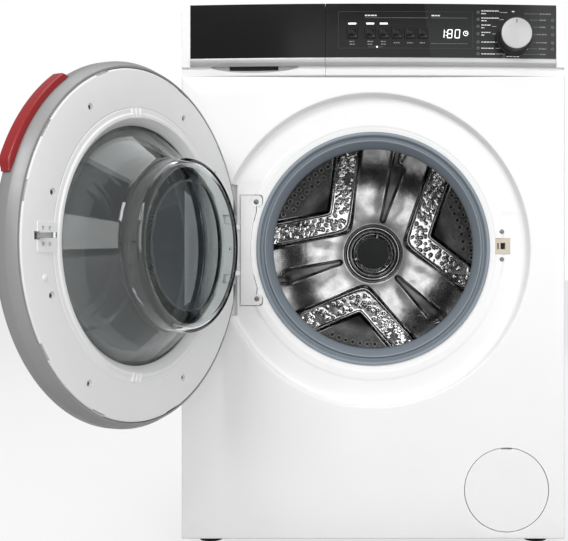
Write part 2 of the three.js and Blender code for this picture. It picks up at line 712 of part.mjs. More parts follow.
add("filter_flap",
  moved(rodY(flapRadius, 0.2, 0.2 + flapThickness, coarse), 0, -1, -flapAxis)
    .subtract(box(-fingerSlot / 2, fingerSlot / 2, -2, 4, flapTop - 2.2, flapTop + 2)),
  whitePlastic, flap);

// ---------- tub and what hangs on it ----------
const tub = groupAt(0, 0, drumZ);
add("tub_front", turned([
  [tubNeckRadius - tubWall, tubFront - tubNeckDepth], [tubNeckRadius, tubFront - tubNeckDepth],
  [tubNeckRadius, tubFront], [tubOuter, tubFront], [tubOuter, tubJointY - joinGap],
  [tubInner, tubJointY - joinGap], [tubInner, tubFront + tubWall],
  [tubNeckRadius - tubWall, tubFront + tubWall],
], fine), greyPlastic, tub);

const springBottom = springTop - 205;
function tubRearShell() {
  const bore = shaftRadius + bearingClearance;
  const shell = turned([
    [tubInner, tubJointY], [tubOuter, tubJointY], [tubOuter, tubRear], [hubRadius, tubRear],
    [hubRadius - 8, tubRear + hubLength], [bore, tubRear + hubLength], [bore, tubRear - tubWall],
    [tubInner, tubRear - tubWall],
  ], fine);
  const earTop = springBottom - drumZ - joinGap;
  const earBottom = Math.sqrt(tubOuter ** 2 - springX ** 2) - 14;
  const ears = [-1, 1].map((side) => {
    const x = side * springX;
    return box(x - 11, x + 11, springY - 9, springY + 9, earBottom, earTop);
  });
  const hollow = rodY(tubInner, tubJointY + 1, tubRear - tubWall - 1, fine);
  return shell.add(ears[0].subtract(hollow)).add(ears[1].subtract(hollow));
}
add("tub_rear", tubRearShell(), greyPlastic, tub);

[-1, 1].forEach((side, i) => {
  const name = ["left", "right"][i];
  const spring = groupAt(side * springX, springY, 0);
  add("spring_" + name, rodZ(10, springBottom, springTop, 16), steel, spring);
  const damperX = 120;
  const damperTop = drumZ - Math.sqrt(tubOuter ** 2 - (damperX - 16) ** 2) - 8;
  const damper = groupAt(side * damperX, tubJointY - 70, 0);
  add("damper_" + name, joined(
    rodZ(14, baseTop + joinGap, baseTop + (damperTop - baseTop) * 0.62, 16),
    rodZ(8, baseTop + (damperTop - baseTop) * 0.6, damperTop, 16),
  ), greyPlastic, damper);
});

const ductX0 = 16;
const ductX1 = 150;
const ductWall = 3;
const ductBottom = tubOuter + 4;
const ductTop = ductBottom + 58;
const ductFront = tubFront - 38;
const weightOuter = tubOuter - 6;

add("front_counterweight",
  tubeY(weightOuter, gasketOuter + 16, ductFront, tubFront - joinGap, fine)
    .subtract(box(ductX0 - 8, ductX1 + 8, 0, tubFront, 0, tubOuter + 10)),
  concrete, tub);

// The drying duct crosses the top of the tub and comes down to the gasket between the weight's ends.
function dryerDuct() {
  const outside = joined(
    box(ductX0, ductX1, ductFront, tubRear - 30, ductBottom, ductTop),
    box(ductX0, ductX1, ductFront, tubFront - joinGap, gasketOuter + 20, ductTop),
  );
  const x0 = ductX0 + ductWall;
  const x1 = ductX1 - ductWall;
  const y0 = ductFront + ductWall;
  const top = ductTop - ductWall;
  const inside = joined(
    box(x0, x1, y0, tubRear, ductBottom + ductWall, top),
    box(x0, x1, y0, tubFront - joinGap - ductWall, gasketOuter + 10, top),
  );
  return outside.subtract(inside);
}
add("dryer_duct", dryerDuct(), castAluminium, tub);

// A rubber bellows from the porthole's rim to the tub's neck.
function doorGasket() {
  const rim = portholeRadius - sheet - gasketClearance;
  const floor = recessDepth - joinGap;
  const neck = tubNeckRadius + joinGap;
  const mouth = portholeRadius - gasketMouthInset;
  const start = tubFront - tubNeckDepth;
  return turned([
    [gasketOuter, floor - 3], [gasketOuter, floor], [rim, floor], [rim, floor + 17], [rim + 7, start - 11],
    [neck + 3, start], [neck + 3, tubFront - 2], [neck, tubFront - 2], [neck, start - 1],
    [rim + 3, start - 11], [rim - 4, floor + 18], [rim - 4, floor + 4],
    [mouth + 3, floor + 16], [mouth, floor + 14], [rim - 9, floor], [rim - 3, floor - 3],
  ], fine);
}
add("door_gasket", doorGasket(), greyRubber, tub);

const heaterRadius = 3.5;
const heaterOrbit = drumOuter + drumGap / 2;
function heater() {
  const legs = [-1, 1].map((side) =>
    moved(rodY(heaterRadius, tubJointY, tubRear - tubWall - joinGap, 10), side * 22, 0, 0));
  const bend = box(-22, 22, tubJointY - heaterRadius, tubJointY + heaterRadius, -heaterRadius, heaterRadius);
  const seat = box(-28, 28, tubRear - tubWall - 3, tubRear - tubWall - joinGap, -5.5, 5);
  return moved(joined(legs[0], legs[1], bend, seat), 0, 0, -Math.sqrt(heaterOrbit ** 2 - 22 ** 2));
}
add("heater", heater(), steel, tub);

function motorBody() {
  const bore = 45;
  const back = pulleyY - 8;
  const front = back - motorLength;
  return moved(turned([
    [9, front], [motorRadius, front], [motorRadius, back], [9, back], [9, back - 10], [bore, back - 10],
    [bore, front + 10], [9, front + 10],
  ], coarse), motorX, 0, -motorDrop);
}
add("motor_body", motorBody(), castAluminium, tub);

// The belt's outline is the two pulleys' circles joined by their outer tangents.
function beltOutline(large, little) {
  const distance = Math.hypot(motorX, motorDrop);
  const along = THREE.MathUtils.radToDeg(Math.atan2(-motorDrop, motorX));
  const lean = THREE.MathUtils.radToDeg(Math.acos((large - little) / distance));
  return [
    ...arc(0, 0, large, along + lean, along + 360 - lean, 40),
    ...arc(motorX, -motorDrop, little, along - lean, along + lean, 6),
  ];
}
function driveBelt() {
  const band = (offset) => beltOutline(pulleyRadius + offset, rotorPulleyRadius + offset);
  const start = pulleyY + (pulleyWidth - beltWidth) / 2;
  const end = start + beltWidth;
  return pulledBack(band(joinGap + beltThickness), start, end)
    .subtract(pulledBack(band(joinGap), start - 1, end + 1));
}
add("drive_belt", driveBelt(), blackRubber, tub);

// ---------- drum, which turns in the tub ----------
add("drum_basket", turned([
  [0, drumRearY], [drumOuter - drumSheet, drumRearY], [drumOuter - drumSheet, drumFrontY + 5],
  [drumOuter - 6, drumFrontY + drumSheet], [drumMouthRadius + drumSheet, drumFrontY + drumSheet],
  [drumMouthRadius + drumSheet, drumFrontY + 12], [drumMouthRadius, drumFrontY + 12],
  [drumMouthRadius, drumFrontY], [drumOuter - 5, drumFrontY], [drumOuter, drumFrontY + 5],
  [drumOuter, drumRearY + drumSheet], [0, drumRearY + drumSheet],
], fine), steel, tub);

lifterAngles.forEach((angle, i) => {
  const turn = groupAt(0, 0, 0, tub);
  turn.rotation.y = -radians(angle);
  const foot = Math.sqrt((drumOuter - drumSheet) ** 2 - (liftWidth / 2) ** 2) - 1.5;
  const tip = foot - lifterHeight;
  const outline = [
    [foot, -liftWidth / 2], [foot, liftWidth / 2], [tip + 8, 16], [tip, 9], [tip, -9], [tip + 8, -16],
  ];
  add("lifter_" + (i + 1), pulledBack(outline, drumFrontY + 22, drumRearY - 8), steel, turn);
});

const shaftEnd = pulleyY + pulleyWidth + 3;
function drumSpider() {
  const front = drumRearY + drumSheet + joinGap;
  const hub = rodY(44, front, tubRear - tubWall - 3, 28);
  const shaft = rodY(shaftRadius, tubRear - tubWall - 4, shaftEnd, 24);
  const arms = [0, 120, 240].map((angle) =>
    box(30, drumOuter - 14, front, front + 14, -15, 15).rotate([0, angle + 43, 0]));
  return joined(hub, shaft, ...arms);
}
add("drum_spider", drumSpider(), castAluminium, tub);

const bore = shaftRadius + joinGap;
add("drum_pulley", turned([
  [bore, pulleyY - 2], [30, pulleyY - 2], [30, pulleyY + 6], [pulleyRadius - 6, pulleyY + 6],
  [pulleyRadius - 6, pulleyY], [pulleyRadius, pulleyY], [pulleyRadius, pulleyY + pulleyWidth],
  [pulleyRadius - 6, pulleyY + pulleyWidth], [pulleyRadius - 6, pulleyY + 10], [30, pulleyY + 10],
  [30, pulleyY + pulleyWidth], [bore, pulleyY + pulleyWidth],
], coarse), castAluminium, tub);

const rotor = groupAt(motorX, 0, -motorDrop, tub);
const rotorBack = pulleyY - 8;
add("motor_rotor", joined(
  rodY(38, rotorBack - motorLength + 14, rotorBack - 14, 24),
  rodY(6, rotorBack - motorLength - 6, pulleyY + 2, 12),
  rodY(rotorPulleyRadius, pulleyY, pulleyY + pulleyWidth, 20),
), steel, rotor);

// ---------- services on the rear panel ----------
add("water_inlet_valve", joined(
  box(-28, 28, cabinetDepth - 70, cabinetDepth - 12, -20, 20),
  rodY(stubRadius, cabinetDepth - 13, cabinetDepth + 16, small),
), whitePlastic, groupAt(valveX, 0, valveZ));
add("cable_gland", joined(
  rodY(glandRadius, cabinetDepth - 8, cabinetDepth + 10, small),
  rodY(glandRadius + 4, cabinetDepth + joinGap, cabinetDepth + 4, small),
  rodY(glandRadius + 4, cabinetDepth - 8, cabinetDepth - sheet - joinGap, small),
), blackRubber, groupAt(glandX, 0, glandZ));
add("drain_outlet", joined(
  tubeY(stubRadius, stubRadius - 3, cabinetDepth - 30, cabinetDepth + 18, small),
  tubeY(stubRadius + 5, stubRadius - 1, cabinetDepth + joinGap, cabinetDepth + 4, small),
), greyPlastic, groupAt(outletX, 0, outletZ));

export default washer;
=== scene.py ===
import json
import math
import random

import bmesh
import bpy
from mathutils import Matrix, Vector, noise
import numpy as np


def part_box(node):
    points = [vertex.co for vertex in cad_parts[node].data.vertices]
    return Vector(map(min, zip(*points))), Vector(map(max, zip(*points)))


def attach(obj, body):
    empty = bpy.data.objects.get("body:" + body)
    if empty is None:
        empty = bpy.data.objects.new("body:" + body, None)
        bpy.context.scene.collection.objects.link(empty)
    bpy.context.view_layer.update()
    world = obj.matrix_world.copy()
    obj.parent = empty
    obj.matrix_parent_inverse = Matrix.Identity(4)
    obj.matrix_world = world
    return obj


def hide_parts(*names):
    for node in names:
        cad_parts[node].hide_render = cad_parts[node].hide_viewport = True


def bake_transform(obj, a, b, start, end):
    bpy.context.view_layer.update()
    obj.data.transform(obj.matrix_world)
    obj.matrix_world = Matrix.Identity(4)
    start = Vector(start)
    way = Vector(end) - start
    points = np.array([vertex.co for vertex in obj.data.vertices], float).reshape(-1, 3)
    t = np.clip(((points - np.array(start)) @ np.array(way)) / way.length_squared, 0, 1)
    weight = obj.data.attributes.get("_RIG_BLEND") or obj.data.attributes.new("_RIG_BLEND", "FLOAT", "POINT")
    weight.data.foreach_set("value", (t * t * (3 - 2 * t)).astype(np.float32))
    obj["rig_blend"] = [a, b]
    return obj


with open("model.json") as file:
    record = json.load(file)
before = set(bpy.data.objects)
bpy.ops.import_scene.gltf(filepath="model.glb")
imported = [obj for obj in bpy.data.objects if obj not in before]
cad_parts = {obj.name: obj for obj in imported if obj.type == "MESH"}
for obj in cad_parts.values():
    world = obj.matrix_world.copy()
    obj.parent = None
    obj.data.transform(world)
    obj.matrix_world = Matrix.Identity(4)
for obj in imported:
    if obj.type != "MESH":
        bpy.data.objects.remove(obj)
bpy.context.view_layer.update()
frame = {"nodes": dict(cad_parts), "record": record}
print("frame loaded,", len(frame["nodes"]), "nodes")

mm = 0.001
scene = bpy.context.scene

# Places that most pieces share, in millimetres. The machine's front plane is y = 0.
machine = {
    "halfWidth": 298.5,
    "top": 845.0,
    "bottom": 14.5,
    "back": 560.0,
    "drumZ": 467.0,
    "recessZ": 464.5,
}
hinge = Vector((-221.0, -12.0, 464.5))
doorAngle = math.radians(-112)


# ---------- camera, light and stage ----------
def buildCamera():
    view = bpy.data.cameras.new("mainView")
    view.lens = 57.0
    view.sensor_width = 36.0
    view.shift_x = -0.157
    view.shift_y = 0.001
    view.clip_start = 0.05
    camera = bpy.data.objects.new("mainView", view)
    camera.location = (0.0, -1.4, 0.4317)
    camera.rotation_euler = (math.radians(90), 0, 0)
    scene.collection.objects.link(camera)
    scene.camera = camera


def feed(tree, node, inputs):
    for socket, value in inputs.items():
        if isinstance(value, bpy.types.NodeSocket):
            tree.links.new(value, node.inputs[socket])
        else:
            node.inputs[socket].default_value = value


def addNode(tree, kind, inputs=None, **settings):
    made = tree.nodes.new(kind)
    for key, value in settings.items():
        setattr(made, key, value)
    feed(tree, made, inputs or {})
    return made


def emptied(owner):
    # The node tree of a material or a world, with nothing in it yet.
    owner.use_nodes = True
    owner.node_tree.nodes.clear()
    return owner.node_tree


def linear(code):
    parts = [int(code[i:i + 2], 16) / 255 for i in (1, 3, 5)]
    return tuple(c / 12.92 if c <= 0.04045 else ((c + 0.055) / 1.055) ** 2.4 for c in parts) + (1.0,)


def mixed(tree, factor, first, second, kind="RGBA"):
    # Two colours, as codes or outputs, or with FLOAT two numbers.
    first, second = (linear(v) if isinstance(v, str) else v for v in (first, second))
    return addNode(tree, "ShaderNodeMix", {"Factor": factor, "A": first, "B": second},
                   data_type=kind).outputs["Result"]


def mapped(tree, value, result, span=(0.0, 1.0)):
    return addNode(tree, "ShaderNodeMapRange", {
        "Value": value, "From Min": span[0], "From Max": span[1],
        "To Min": result[0], "To Max": result[1]}).outputs[0]


def reckoned(tree, operation, first, second):
    return addNode(tree, "ShaderNodeMath", {0: first, 1: second}, operation=operation).outputs[0]


def bumped(tree, height, strength, depth):
    return addNode(tree, "ShaderNodeBump",
                   {"Height": height, "Strength": strength, "Distance": depth * mm}).outputs[0]


studio = {
    "floor": "#F2F2F2",
    "bounce": "#A4A4A4",    # what the floor gives back to the machine's undersides
    "backdrop": 1.0,        # brightness seen straight past the machine
    "room": 0.40,           # brightness of the room in reflections and as fill light
    "sweep": 0.72,          # how far the floor melts into the backdrop
    "throughGlass": 0.10,   # the unlit end of the room, which only the glass shows
    "reach": 40,            # half the floor's width, in metres
}
softboxes = {    # place, the point it looks at, width and height, power
    "keyBox": ((-0.9, -2.6, 2.4), (0, 0.1, 0.5), (1.6, 1.2), 44),
    "fillBox": ((1.5, -2.4, 1.0), (0, 0.1, 0.45), (1.0, 1.8), 18),
    "topBox": ((0.1, 0.1, 2.9), (0, 0.2, 0.4), (2.2, 2.0), 24),
    "frontBox": ((0.3, -2.9, 0.95), (0, 0.4, 0.45), (1.8, 1.3), 15),
    "backBox": ((0.6, 2.8, 2.0), (0, 0.4, 0.45), (1.8, 1.4), 16),
}


def buildStage():
    scene.world = bpy.data.worlds.new("studio")
    tree = emptied(scene.world)
    path = addNode(tree, "ShaderNodeLightPath").outputs
    seen = mixed(tree, path["Is Camera Ray"], studio["room"], studio["backdrop"], "FLOAT")
    seen = mixed(tree, path["Is Transmission Ray"], seen, studio["throughGlass"], "FLOAT")
    back = addNode(tree, "ShaderNodeBackground", {"Color": (1, 1, 1, 1), "Strength": seen})
    addNode(tree, "ShaderNodeOutputWorld", {"Surface": back.outputs[0]})

    far = studio["reach"]
    ground = bpy.data.meshes.new("floor")
    ground.from_pydata([(-far, -far, 0), (far, -far, 0), (far, far, 0), (-far, far, 0)], [],
                       [(0, 1, 2, 3)])
    floor = bpy.data.objects.new("floor", ground)
    scene.collection.objects.link(floor)
    paint = bpy.data.materials.new("floorPaint")
    tree = emptied(paint)
    path = addNode(tree, "ShaderNodeLightPath").outputs
    shade = mixed(tree, path["Is Diffuse Ray"], studio["floor"], studio["bounce"])
    matt = addNode(tree, "ShaderNodeBsdfPrincipled", {"Base Color": shade, "Roughness": 0.9})
    level = studio["throughGlass"]
    unlit = addNode(tree, "ShaderNodeEmission", {"Color": (level, level, level, 1)})
    bright = addNode(tree, "ShaderNodeEmission",
                     {"Color": (1, 1, 1, 1), "Strength": studio["backdrop"]})
    sweep = reckoned(tree, "MULTIPLY", path["Is Camera Ray"], studio["sweep"])
    pale = addNode(tree, "ShaderNodeMixShader", {0: sweep, 1: matt.outputs[0], 2: bright.outputs[0]})
    shown = addNode(tree, "ShaderNodeMixShader",
                    {0: path["Is Transmission Ray"], 1: pale.outputs[0], 2: unlit.outputs[0]})
    addNode(tree, "ShaderNodeOutputMaterial", {"Surface": shown.outputs[0]})
    ground.materials.append(paint)

    for name, (place, aim, size, power) in softboxes.items():
        lamp = bpy.data.lights.new(name, "AREA")
        lamp.shape = "RECTANGLE"
        lamp.size, lamp.size_y = size
        lamp.energy = power
        box = bpy.data.objects.new(name, lamp)
        box.location = place
        box.rotation_euler = (Vector(aim) - Vector(place)).to_track_quat("-Z", "Y").to_euler()
        scene.collection.objects.link(box)
    scene.view_settings.view_transform = "Standard"


buildCamera()
buildStage()
print("camera and studio set")


# ---------- finishes ----------
def newFinish(name, shader):
    # An empty material with its shader, and the position that its patterns read, in metres.
    finish = bpy.data.materials.new(name)
    tree = emptied(finish)
    bsdf = addNode(tree, "ShaderNodeBsdfPrincipled", shader)
    addNode(tree, "ShaderNodeOutputMaterial", {"Surface": bsdf.outputs[0]})
    return finish, tree, bsdf, addNode(tree, "ShaderNodeTexCoord").outputs["Object"]


def speckle(tree, place, size, detail=2.0):
    # Noise whose grains are about this many millimetres across.
    return addNode(tree, "ShaderNodeTexNoise",
                   {"Vector": place, "Scale": 1 / (size * mm), "Detail": detail}).outputs[0]


def moulded(name, colours, rough, grain, cloud, depth, metal=0.0, coat=0.0):
    # A finish that varies a little in colour and gloss over `cloud` mm and has a bump of `grain` mm.
    finish, tree, bsdf, place = newFinish(name, {"Metallic": metal, "Coat Weight": coat})
    feed(tree, bsdf, {
        "Base Color": mixed(tree, speckle(tree, place, cloud, 3.0), *colours),
        "Roughness": mapped(tree, speckle(tree, place, cloud / 3, 3.0), rough, (0.3, 0.7)),
        "Normal": bumped(tree, speckle(tree, place, grain), 0.35, depth)})
    return finish


finishes = {
    # Powder-coated steel sheet: bright, faintly orange-peeled.
    "white_enamel": moulded("powderCoatedSteel", ("#F7F7F7", "#F3F3F3"), (0.28, 0.36), 2.4, 120, 0.03),
    # Moulded ABS: an even satin with a fine spark-eroded grain.
    "white_plastic": moulded("whiteAbs", ("#F5F5F5", "#F0F0F0"), (0.36, 0.46), 0.9, 70, 0.015),
    # Polypropylene of the door's inner ring: a shade greyer and softer.
    "ring_plastic": moulded("ringPolypropylene", ("#F3F3F3", "#EDEDED"), (0.42, 0.52), 0.8, 80, 0.02),
    # Silver-painted ABS of the trim and the knob: metallic flake.
    "silver_plastic": moulded("silverPaintedAbs", ("#B9B9B9", "#ACACAC"), (0.30, 0.40), 0.7, 30, 0.02,
                              0.35),
    # Red ABS of the handle: glossy, with a deeper shade in its moulding.
    "red_plastic": moulded("redAbs", ("#9C1F22", "#8F1A1D"), (0.30, 0.40), 1.0, 40, 0.02, coat=0.15),
    # EPDM rubber of the door seal: matt, blue-grey, dusty bloom.
    "grey_rubber": moulded("epdmRubber", ("#7D868F", "#757E88"), (0.55, 0.7), 0.8, 35, 0.04),
    # Glass-filled nylon of the lock: beige.
    "beige_plastic": moulded("beigeNylon", ("#D6CBBB", "#CDC2B2"), (0.5, 0.6), 0.6, 20, 0.03),
    # Galvanised sheet: spangled zinc.
    "galvanised_steel": moulded("galvanisedSteel", ("#C9CCCE", "#B2B6B8"), (0.38, 0.55), 1.5, 14, 0.02,
                                0.85),
    # Talc-filled polypropylene of the tub and the base: dull grey.
    "grey_plastic": moulded("greyPolypropylene", ("#73787C", "#666B6F"), (0.5, 0.65), 1.2, 60, 0.04),
    # Cast concrete of the counterweight: pitted and rough.
    "concrete": moulded("castConcrete", ("#B4AFA6", "#948F87"), (0.85, 0.95), 3.0, 25, 0.4),
    # Die-cast aluminium: grainy, half bright.
    "cast_aluminium": moulded("dieCastAluminium", ("#B0B3B5", "#9A9D9F"), (0.42, 0.58), 1.2, 18, 0.08, 0.9),
    # Black rubber of belt and feet.
    "black_rubber": moulded("blackRubber", ("#202020", "#181818"), (0.7, 0.85), 1.0, 20, 0.06),
    # Glass-epoxy circuit board with its green solder mask.
    "circuit_board": moulded("circuitBoard", ("#2C6A3C", "#255C33"), (0.35, 0.5), 1.4, 9, 0.05),
    # Bright zinc plating of screws, the pin and the hook.
    "stainless_steel": moulded("platedSteel", ("#B5B7B8", "#9B9D9E"), (0.22, 0.34), 0.9, 12, 0.02, 1.0),
    # Dull zinc of the screw heads, painted darker still as painted shade of the wells they sit in.
    "screwZinc": moulded("dullZincPlating", ("#7E8082", "#66686A"), (0.30, 0.42), 0.9, 6, 0.02, 0.9),
    # Rolled steel rims of the perforations, painted brighter and more diffuse than the wall: a painted
    # highlight.
    "rolledRim": moulded("rolledSteelRim", ("#D8D8D8", "#BEBEBE"), (0.28, 0.38), 0.9, 8, 0.02, 0.55),
    # Silver lacquer of the door's outer ring: greyer than the trim.
    "doorGrey": moulded("greyDoorLacquer", ("#989898", "#8E8E8E"), (0.38, 0.48), 0.8, 60, 0.02, 0.25),
    # The satin turned face of the knob.
    "knobFace": moulded("satinKnobFace", ("#BEBEBE", "#B4B4B4"), (0.34, 0.42), 0.6, 14, 0.02, 0.2),
    # Dark grey of the knob's side, its skirt, the pointer and the window's border; in every shadowed inside
    # (the lock's slots, the drawer's grip slot, the wall's perforations) it is painted shade.
    "darkPlastic": moulded("darkGreyAbs", ("#2B2C2D", "#232425"), (0.45, 0.6), 0.7, 20, 0.03),
    # White printing ink of the labels.
    "whiteInk": moulded("whiteScreenInk", ("#E9E9E9", "#DCDCDC"), (0.5, 0.6), 0.5, 4, 0.005),
    # Grey printing ink of the fainter lines.
    "greyInk": moulded("greyScreenInk", ("#8B8D8E", "#7B7D7E"), (0.5, 0.6), 0.5, 4, 0.005),
    # Clear-coated black outline that is only just seen.
    "dimInk": moulded("dimScreenInk", ("#343637", "#2E3031"), (0.3, 0.4), 0.5, 4, 0.005),
}


def glossBlackFinish():
    # Back-painted acrylic: mirror-like black, painted a little lighter right of a slanted edge over the
    # display and the dial: a painted reflection.
    finish, tree, bsdf, place = newFinish("glossBlackAcrylic", {"Specular IOR Level": 0.16})
    part = addNode(tree, "ShaderNodeSeparateXYZ", {0: place}).outputs
    across = reckoned(tree, "ADD", part["X"], reckoned(tree, "MULTIPLY", part["Z"], 0.12))
    # Lighter right of a slanted line across the window: painted reflection.
    shade = mixed(tree, mapped(tree, across, (0, 1), (0.1795, 0.1815)), "#171717", "#262827")
    dusty = mixed(tree, speckle(tree, place, 25), shade, "#1F2020")
    feed(tree, bsdf, {"Base Color": mixed(tree, 0.25, shade, dusty),
                      "Roughness": mapped(tree, speckle(tree, place, 8), (0.09, 0.16))})
    return finish


def clearGlassFinish(name, tint, rough, ior):
    # Clear, with a trace of tint and faint differences in polish.
    finish, tree, bsdf, place = newFinish(name, {
        "Base Color": linear(tint), "Transmission Weight": 1.0, "IOR": ior})
    feed(tree, bsdf, {"Roughness": mapped(tree, speckle(tree, place, 40), rough)})
    return finish


def lampFinish(name, colour, power):
    # A light guide with a lamp behind it, slightly cloudy.
    finish, tree, bsdf, place = newFinish(name, {"Emission Color": linear(colour), "Roughness": 0.4,
                                                 "Emission Strength": power})
    feed(tree, bsdf, {"Base Color": mixed(tree, speckle(tree, place, 2, 1.0), colour, "#FFFFFF")})
    return finish


def drumSteelFinish():
    # Polished stainless sheet. A per-point attribute makes it rougher and paints it dark: painted reflection
    # and painted shade on the wall and in the holes.
    finish, tree, bsdf, place = newFinish("polishedStainless", {"Metallic": 1.0})
    tone = addNode(tree, "ShaderNodeAttribute", attribute_name="tone").outputs["Fac"]
    cloudy = mapped(tree, speckle(tree, place, 22, 4.0), (0, 1), (0.35, 0.65))
    feed(tree, bsdf, {
        "Base Color": mixed(tree, tone, mixed(tree, cloudy, "#D6D6D6", "#B4B4B4"), "#242525"),
        "Roughness": mapped(tree, tone, (0.09, 0.34)),
        "Normal": bumped(tree, speckle(tree, place, 26), 0.5, 0.8)})
    return finish


finishes["gloss_black"] = glossBlackFinish()
finishes["clear_glass"] = clearGlassFinish("pressedGlass", "#F4F8F8", (0.0, 0.004), 1.5)
finishes["smoked_plastic"] = clearGlassFinish("smokedAcrylic", "#B9BCBC", (0.004, 0.012), 1.49)
finishes["lamp"] = lampFinish("whiteLamp", "#F4F6F6", 1.1)
finishes["drumSteel"] = drumSteelFinish()
for name, node in frame["nodes"].items():
    slotName = next((s["material_slot"] for s in frame["record"]["subparts"] if s["node"] == name), None)
    if slotName in finishes:
        node.data.materials.clear()
        node.data.materials.append(finishes[slotName])
print("finishes made:", len(finishes))


# ---------- shapes ----------
def newPiece(name, vertices, faces):
    mesh = bpy.data.meshes.new(name)
    mesh.from_pydata([(x * mm, y * mm, z * mm) for x, y, z in vertices], [], faces)
    piece = bpy.data.objects.new(name, mesh)
    scene.collection.objects.link(piece)
    return piece


def outward(piece):
    # Joins what meets and turns every face out.
    work = bmesh.new()
    work.from_mesh(piece.data)
    bmesh.ops.remove_doubles(work, verts=work.verts, dist=1e-6)
    bmesh.ops.recalc_face_normals(work, faces=work.faces)
    work.to_mesh(piece.data)
    work.free()
    return piece


def rounded(points, radius, steps=4):
    # A closed outline with its corners turned to arcs. A corner may carry its own radius as a third number.
    made = []
    for i, corner in enumerate(points):
        size = corner[2] if len(corner) > 2 else radius
        here = Vector(corner[:2])
        back = Vector(points[i - 1][:2]) - here
        on = Vector(points[(i + 1) % len(points)][:2]) - here
        angle = back.angle(on)
        if size <= 0 or angle > math.pi - 0.01:
            made.append(tuple(here))
            continue
        cut = min(size / math.tan(angle / 2), 0.49 * back.length, 0.49 * on.length)
        start = here + back.normalized() * cut
        middle = here + (back.normalized() + on.normalized()).normalized() * (cut / math.cos(angle / 2))
        spoke = start - middle
        end = here + on.normalized() * cut - middle
        turn = math.atan2(spoke.x * end.y - spoke.y * end.x, spoke.dot(end))
        for k in range(steps + 1):
            a = turn * k / steps
            made.append((middle.x + spoke.x * math.cos(a) - spoke.y * math.sin(a),
                         middle.y + spoke.x * math.sin(a) + spoke.y * math.cos(a)))
    return made


def turnedPiece(name, loop, steps=128, centre=(0, 0)):
    # A closed outline of (radius, y) points turned about an axis along Y.
    count = len(loop)
    vertices = []
    for k in range(steps):
        a = math.tau * k / steps
        vertices += [(centre[0] + r * math.cos(a), y, centre[1] + r * math.sin(a)) for r, y in loop]
    faces = []
    for k in range(steps):
        for i in range(count):
            j = (i + 1) % count
            if loop[i][0] < 1e-6 and loop[j][0] < 1e-6:
                continue
            n = (k + 1) % steps
            faces.append((k * count + i, k * count + j, n * count + j, n * count + i))
    return outward(newPiece(name, vertices, faces))


def plate(name, outline, low, high, along="Y"):
    # A flat outline given a thickness along one axis.
    order = {"Y": lambda a, b, c: (a, c, b), "Z": lambda a, b, c: (a, b, c), "X": lambda a, b, c: (c, a, b)}
    put = order[along]
    count = len(outline)
    vertices = [put(a, b, low) for a, b in outline] + [put(a, b, high) for a, b in outline]
    faces = [tuple(range(count)), tuple(range(2 * count - 1, count - 1, -1))]
    faces += [(i, (i + 1) % count, (i + 1) % count + count, i + count) for i in range(count)]
    return outward(newPiece(name, vertices, faces))


def block(name, x0, x1, y0, y1, z0, z1):
    return plate(name, [(x0, z0), (x1, z0), (x1, z1), (x0, z1)], y0, y1)


def roundedBox(x0, x1, z0, z1, radius, steps=4):
    return rounded([(x0, z0), (x1, z0), (x1, z1), (x0, z1)], radius, steps)


def rod(name, x, y, radius, z0, z1, end, steps):
    # A bar along Z whose outline is an arc of `steps` parts from 0 to `end` degrees.
    return plate(name, arcPoints(x, y, radius, 0, end, steps), z0, z1, "Z")


def disc(name, radius, y0, y1, centre=(0, 0), steps=128, edge=0.0):
    loop = [(0, y0), (radius - edge, y0), (radius, y0 + edge), (radius, y1), (0, y1)]
    return turnedPiece(name, loop if edge else [(0, y0), (radius, y0), (radius, y1), (0, y1)], steps,
                       centre)


def tube(name, outer, inner, y0, y1, centre=(0, 0), steps=128):
    return turnedPiece(name, [(inner, y0), (outer, y0), (outer, y1), (inner, y1)], steps, centre)


def lofted(name, rings):
    # Closed rings of equal count, skinned one to the next, with flat ends.
    count = len(rings[0])
    vertices = [p for ring in rings for p in ring]
    faces = [tuple(range(count)), tuple(range(len(vertices) - 1, len(vertices) - count - 1, -1))]
    for k in range(len(rings) - 1):
        faces += [(k * count + i, k * count + (i + 1) % count, (k + 1) * count + (i + 1) % count,
                   (k + 1) * count + i) for i in range(count)]
    return outward(newPiece(name, vertices, faces))


def settled(piece):
    # Its modifiers applied, as a plain mesh.
    bpy.context.view_layer.update()
    graph = bpy.context.evaluated_depsgraph_get()
    mesh = bpy.data.meshes.new_from_object(piece.evaluated_get(graph))
    old = piece.data
    piece.modifiers.clear()
    piece.data = mesh
    bpy.data.meshes.remove(old)
    mesh.name = piece.name
    return piece


def combined(base, tools, operation="DIFFERENCE"):
    for tool in tools:
        step = base.modifiers.new(operation, "BOOLEAN")
        step.operation = operation
        step.solver = "MANIFOLD"
        step.object = tool
    settled(base)
    for tool in tools:
        bpy.data.objects.remove(tool)
    return base


def gathered(name, pieces):
    # Several shapes in one mesh, each keeping its own faces.
    work = bmesh.new()
    for piece in pieces:
        work.from_mesh(piece.data)
        bpy.data.objects.remove(piece)
    mesh = bpy.data.meshes.new(name)
    work.to_mesh(mesh)
    work.free()
    made = bpy.data.objects.new(name, mesh)
    scene.collection.objects.link(made)
    return made


def dressed(piece, finish, sharp):
    # One finish all over, shaded smooth between sharp edges.
    mesh = piece.data
    mesh.materials.clear()
    mesh.materials.append(finishes[finish])
    for face in mesh.polygons:
        face.use_smooth = True
        face.material_index = 0
    mesh.set_sharp_from_angle(angle=math.radians(sharp))


def labelled(stands):
    # Hides the CAD node that the piece stands for.
    if stands:
        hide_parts(stands)


def finished(piece, body, finish, stands=None, soften=0.0, sharp=32, segments=2):
    dressed(piece, finish, sharp)
    if soften:
        step = piece.modifiers.new("softEdges", "BEVEL")
        step.width = soften * mm
        step.segments = segments
        step.limit_method = "ANGLE"
        step.angle_limit = math.radians(sharp)
        step.harden_normals = True
        settled(piece)
    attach(piece, body)
    labelled(stands)


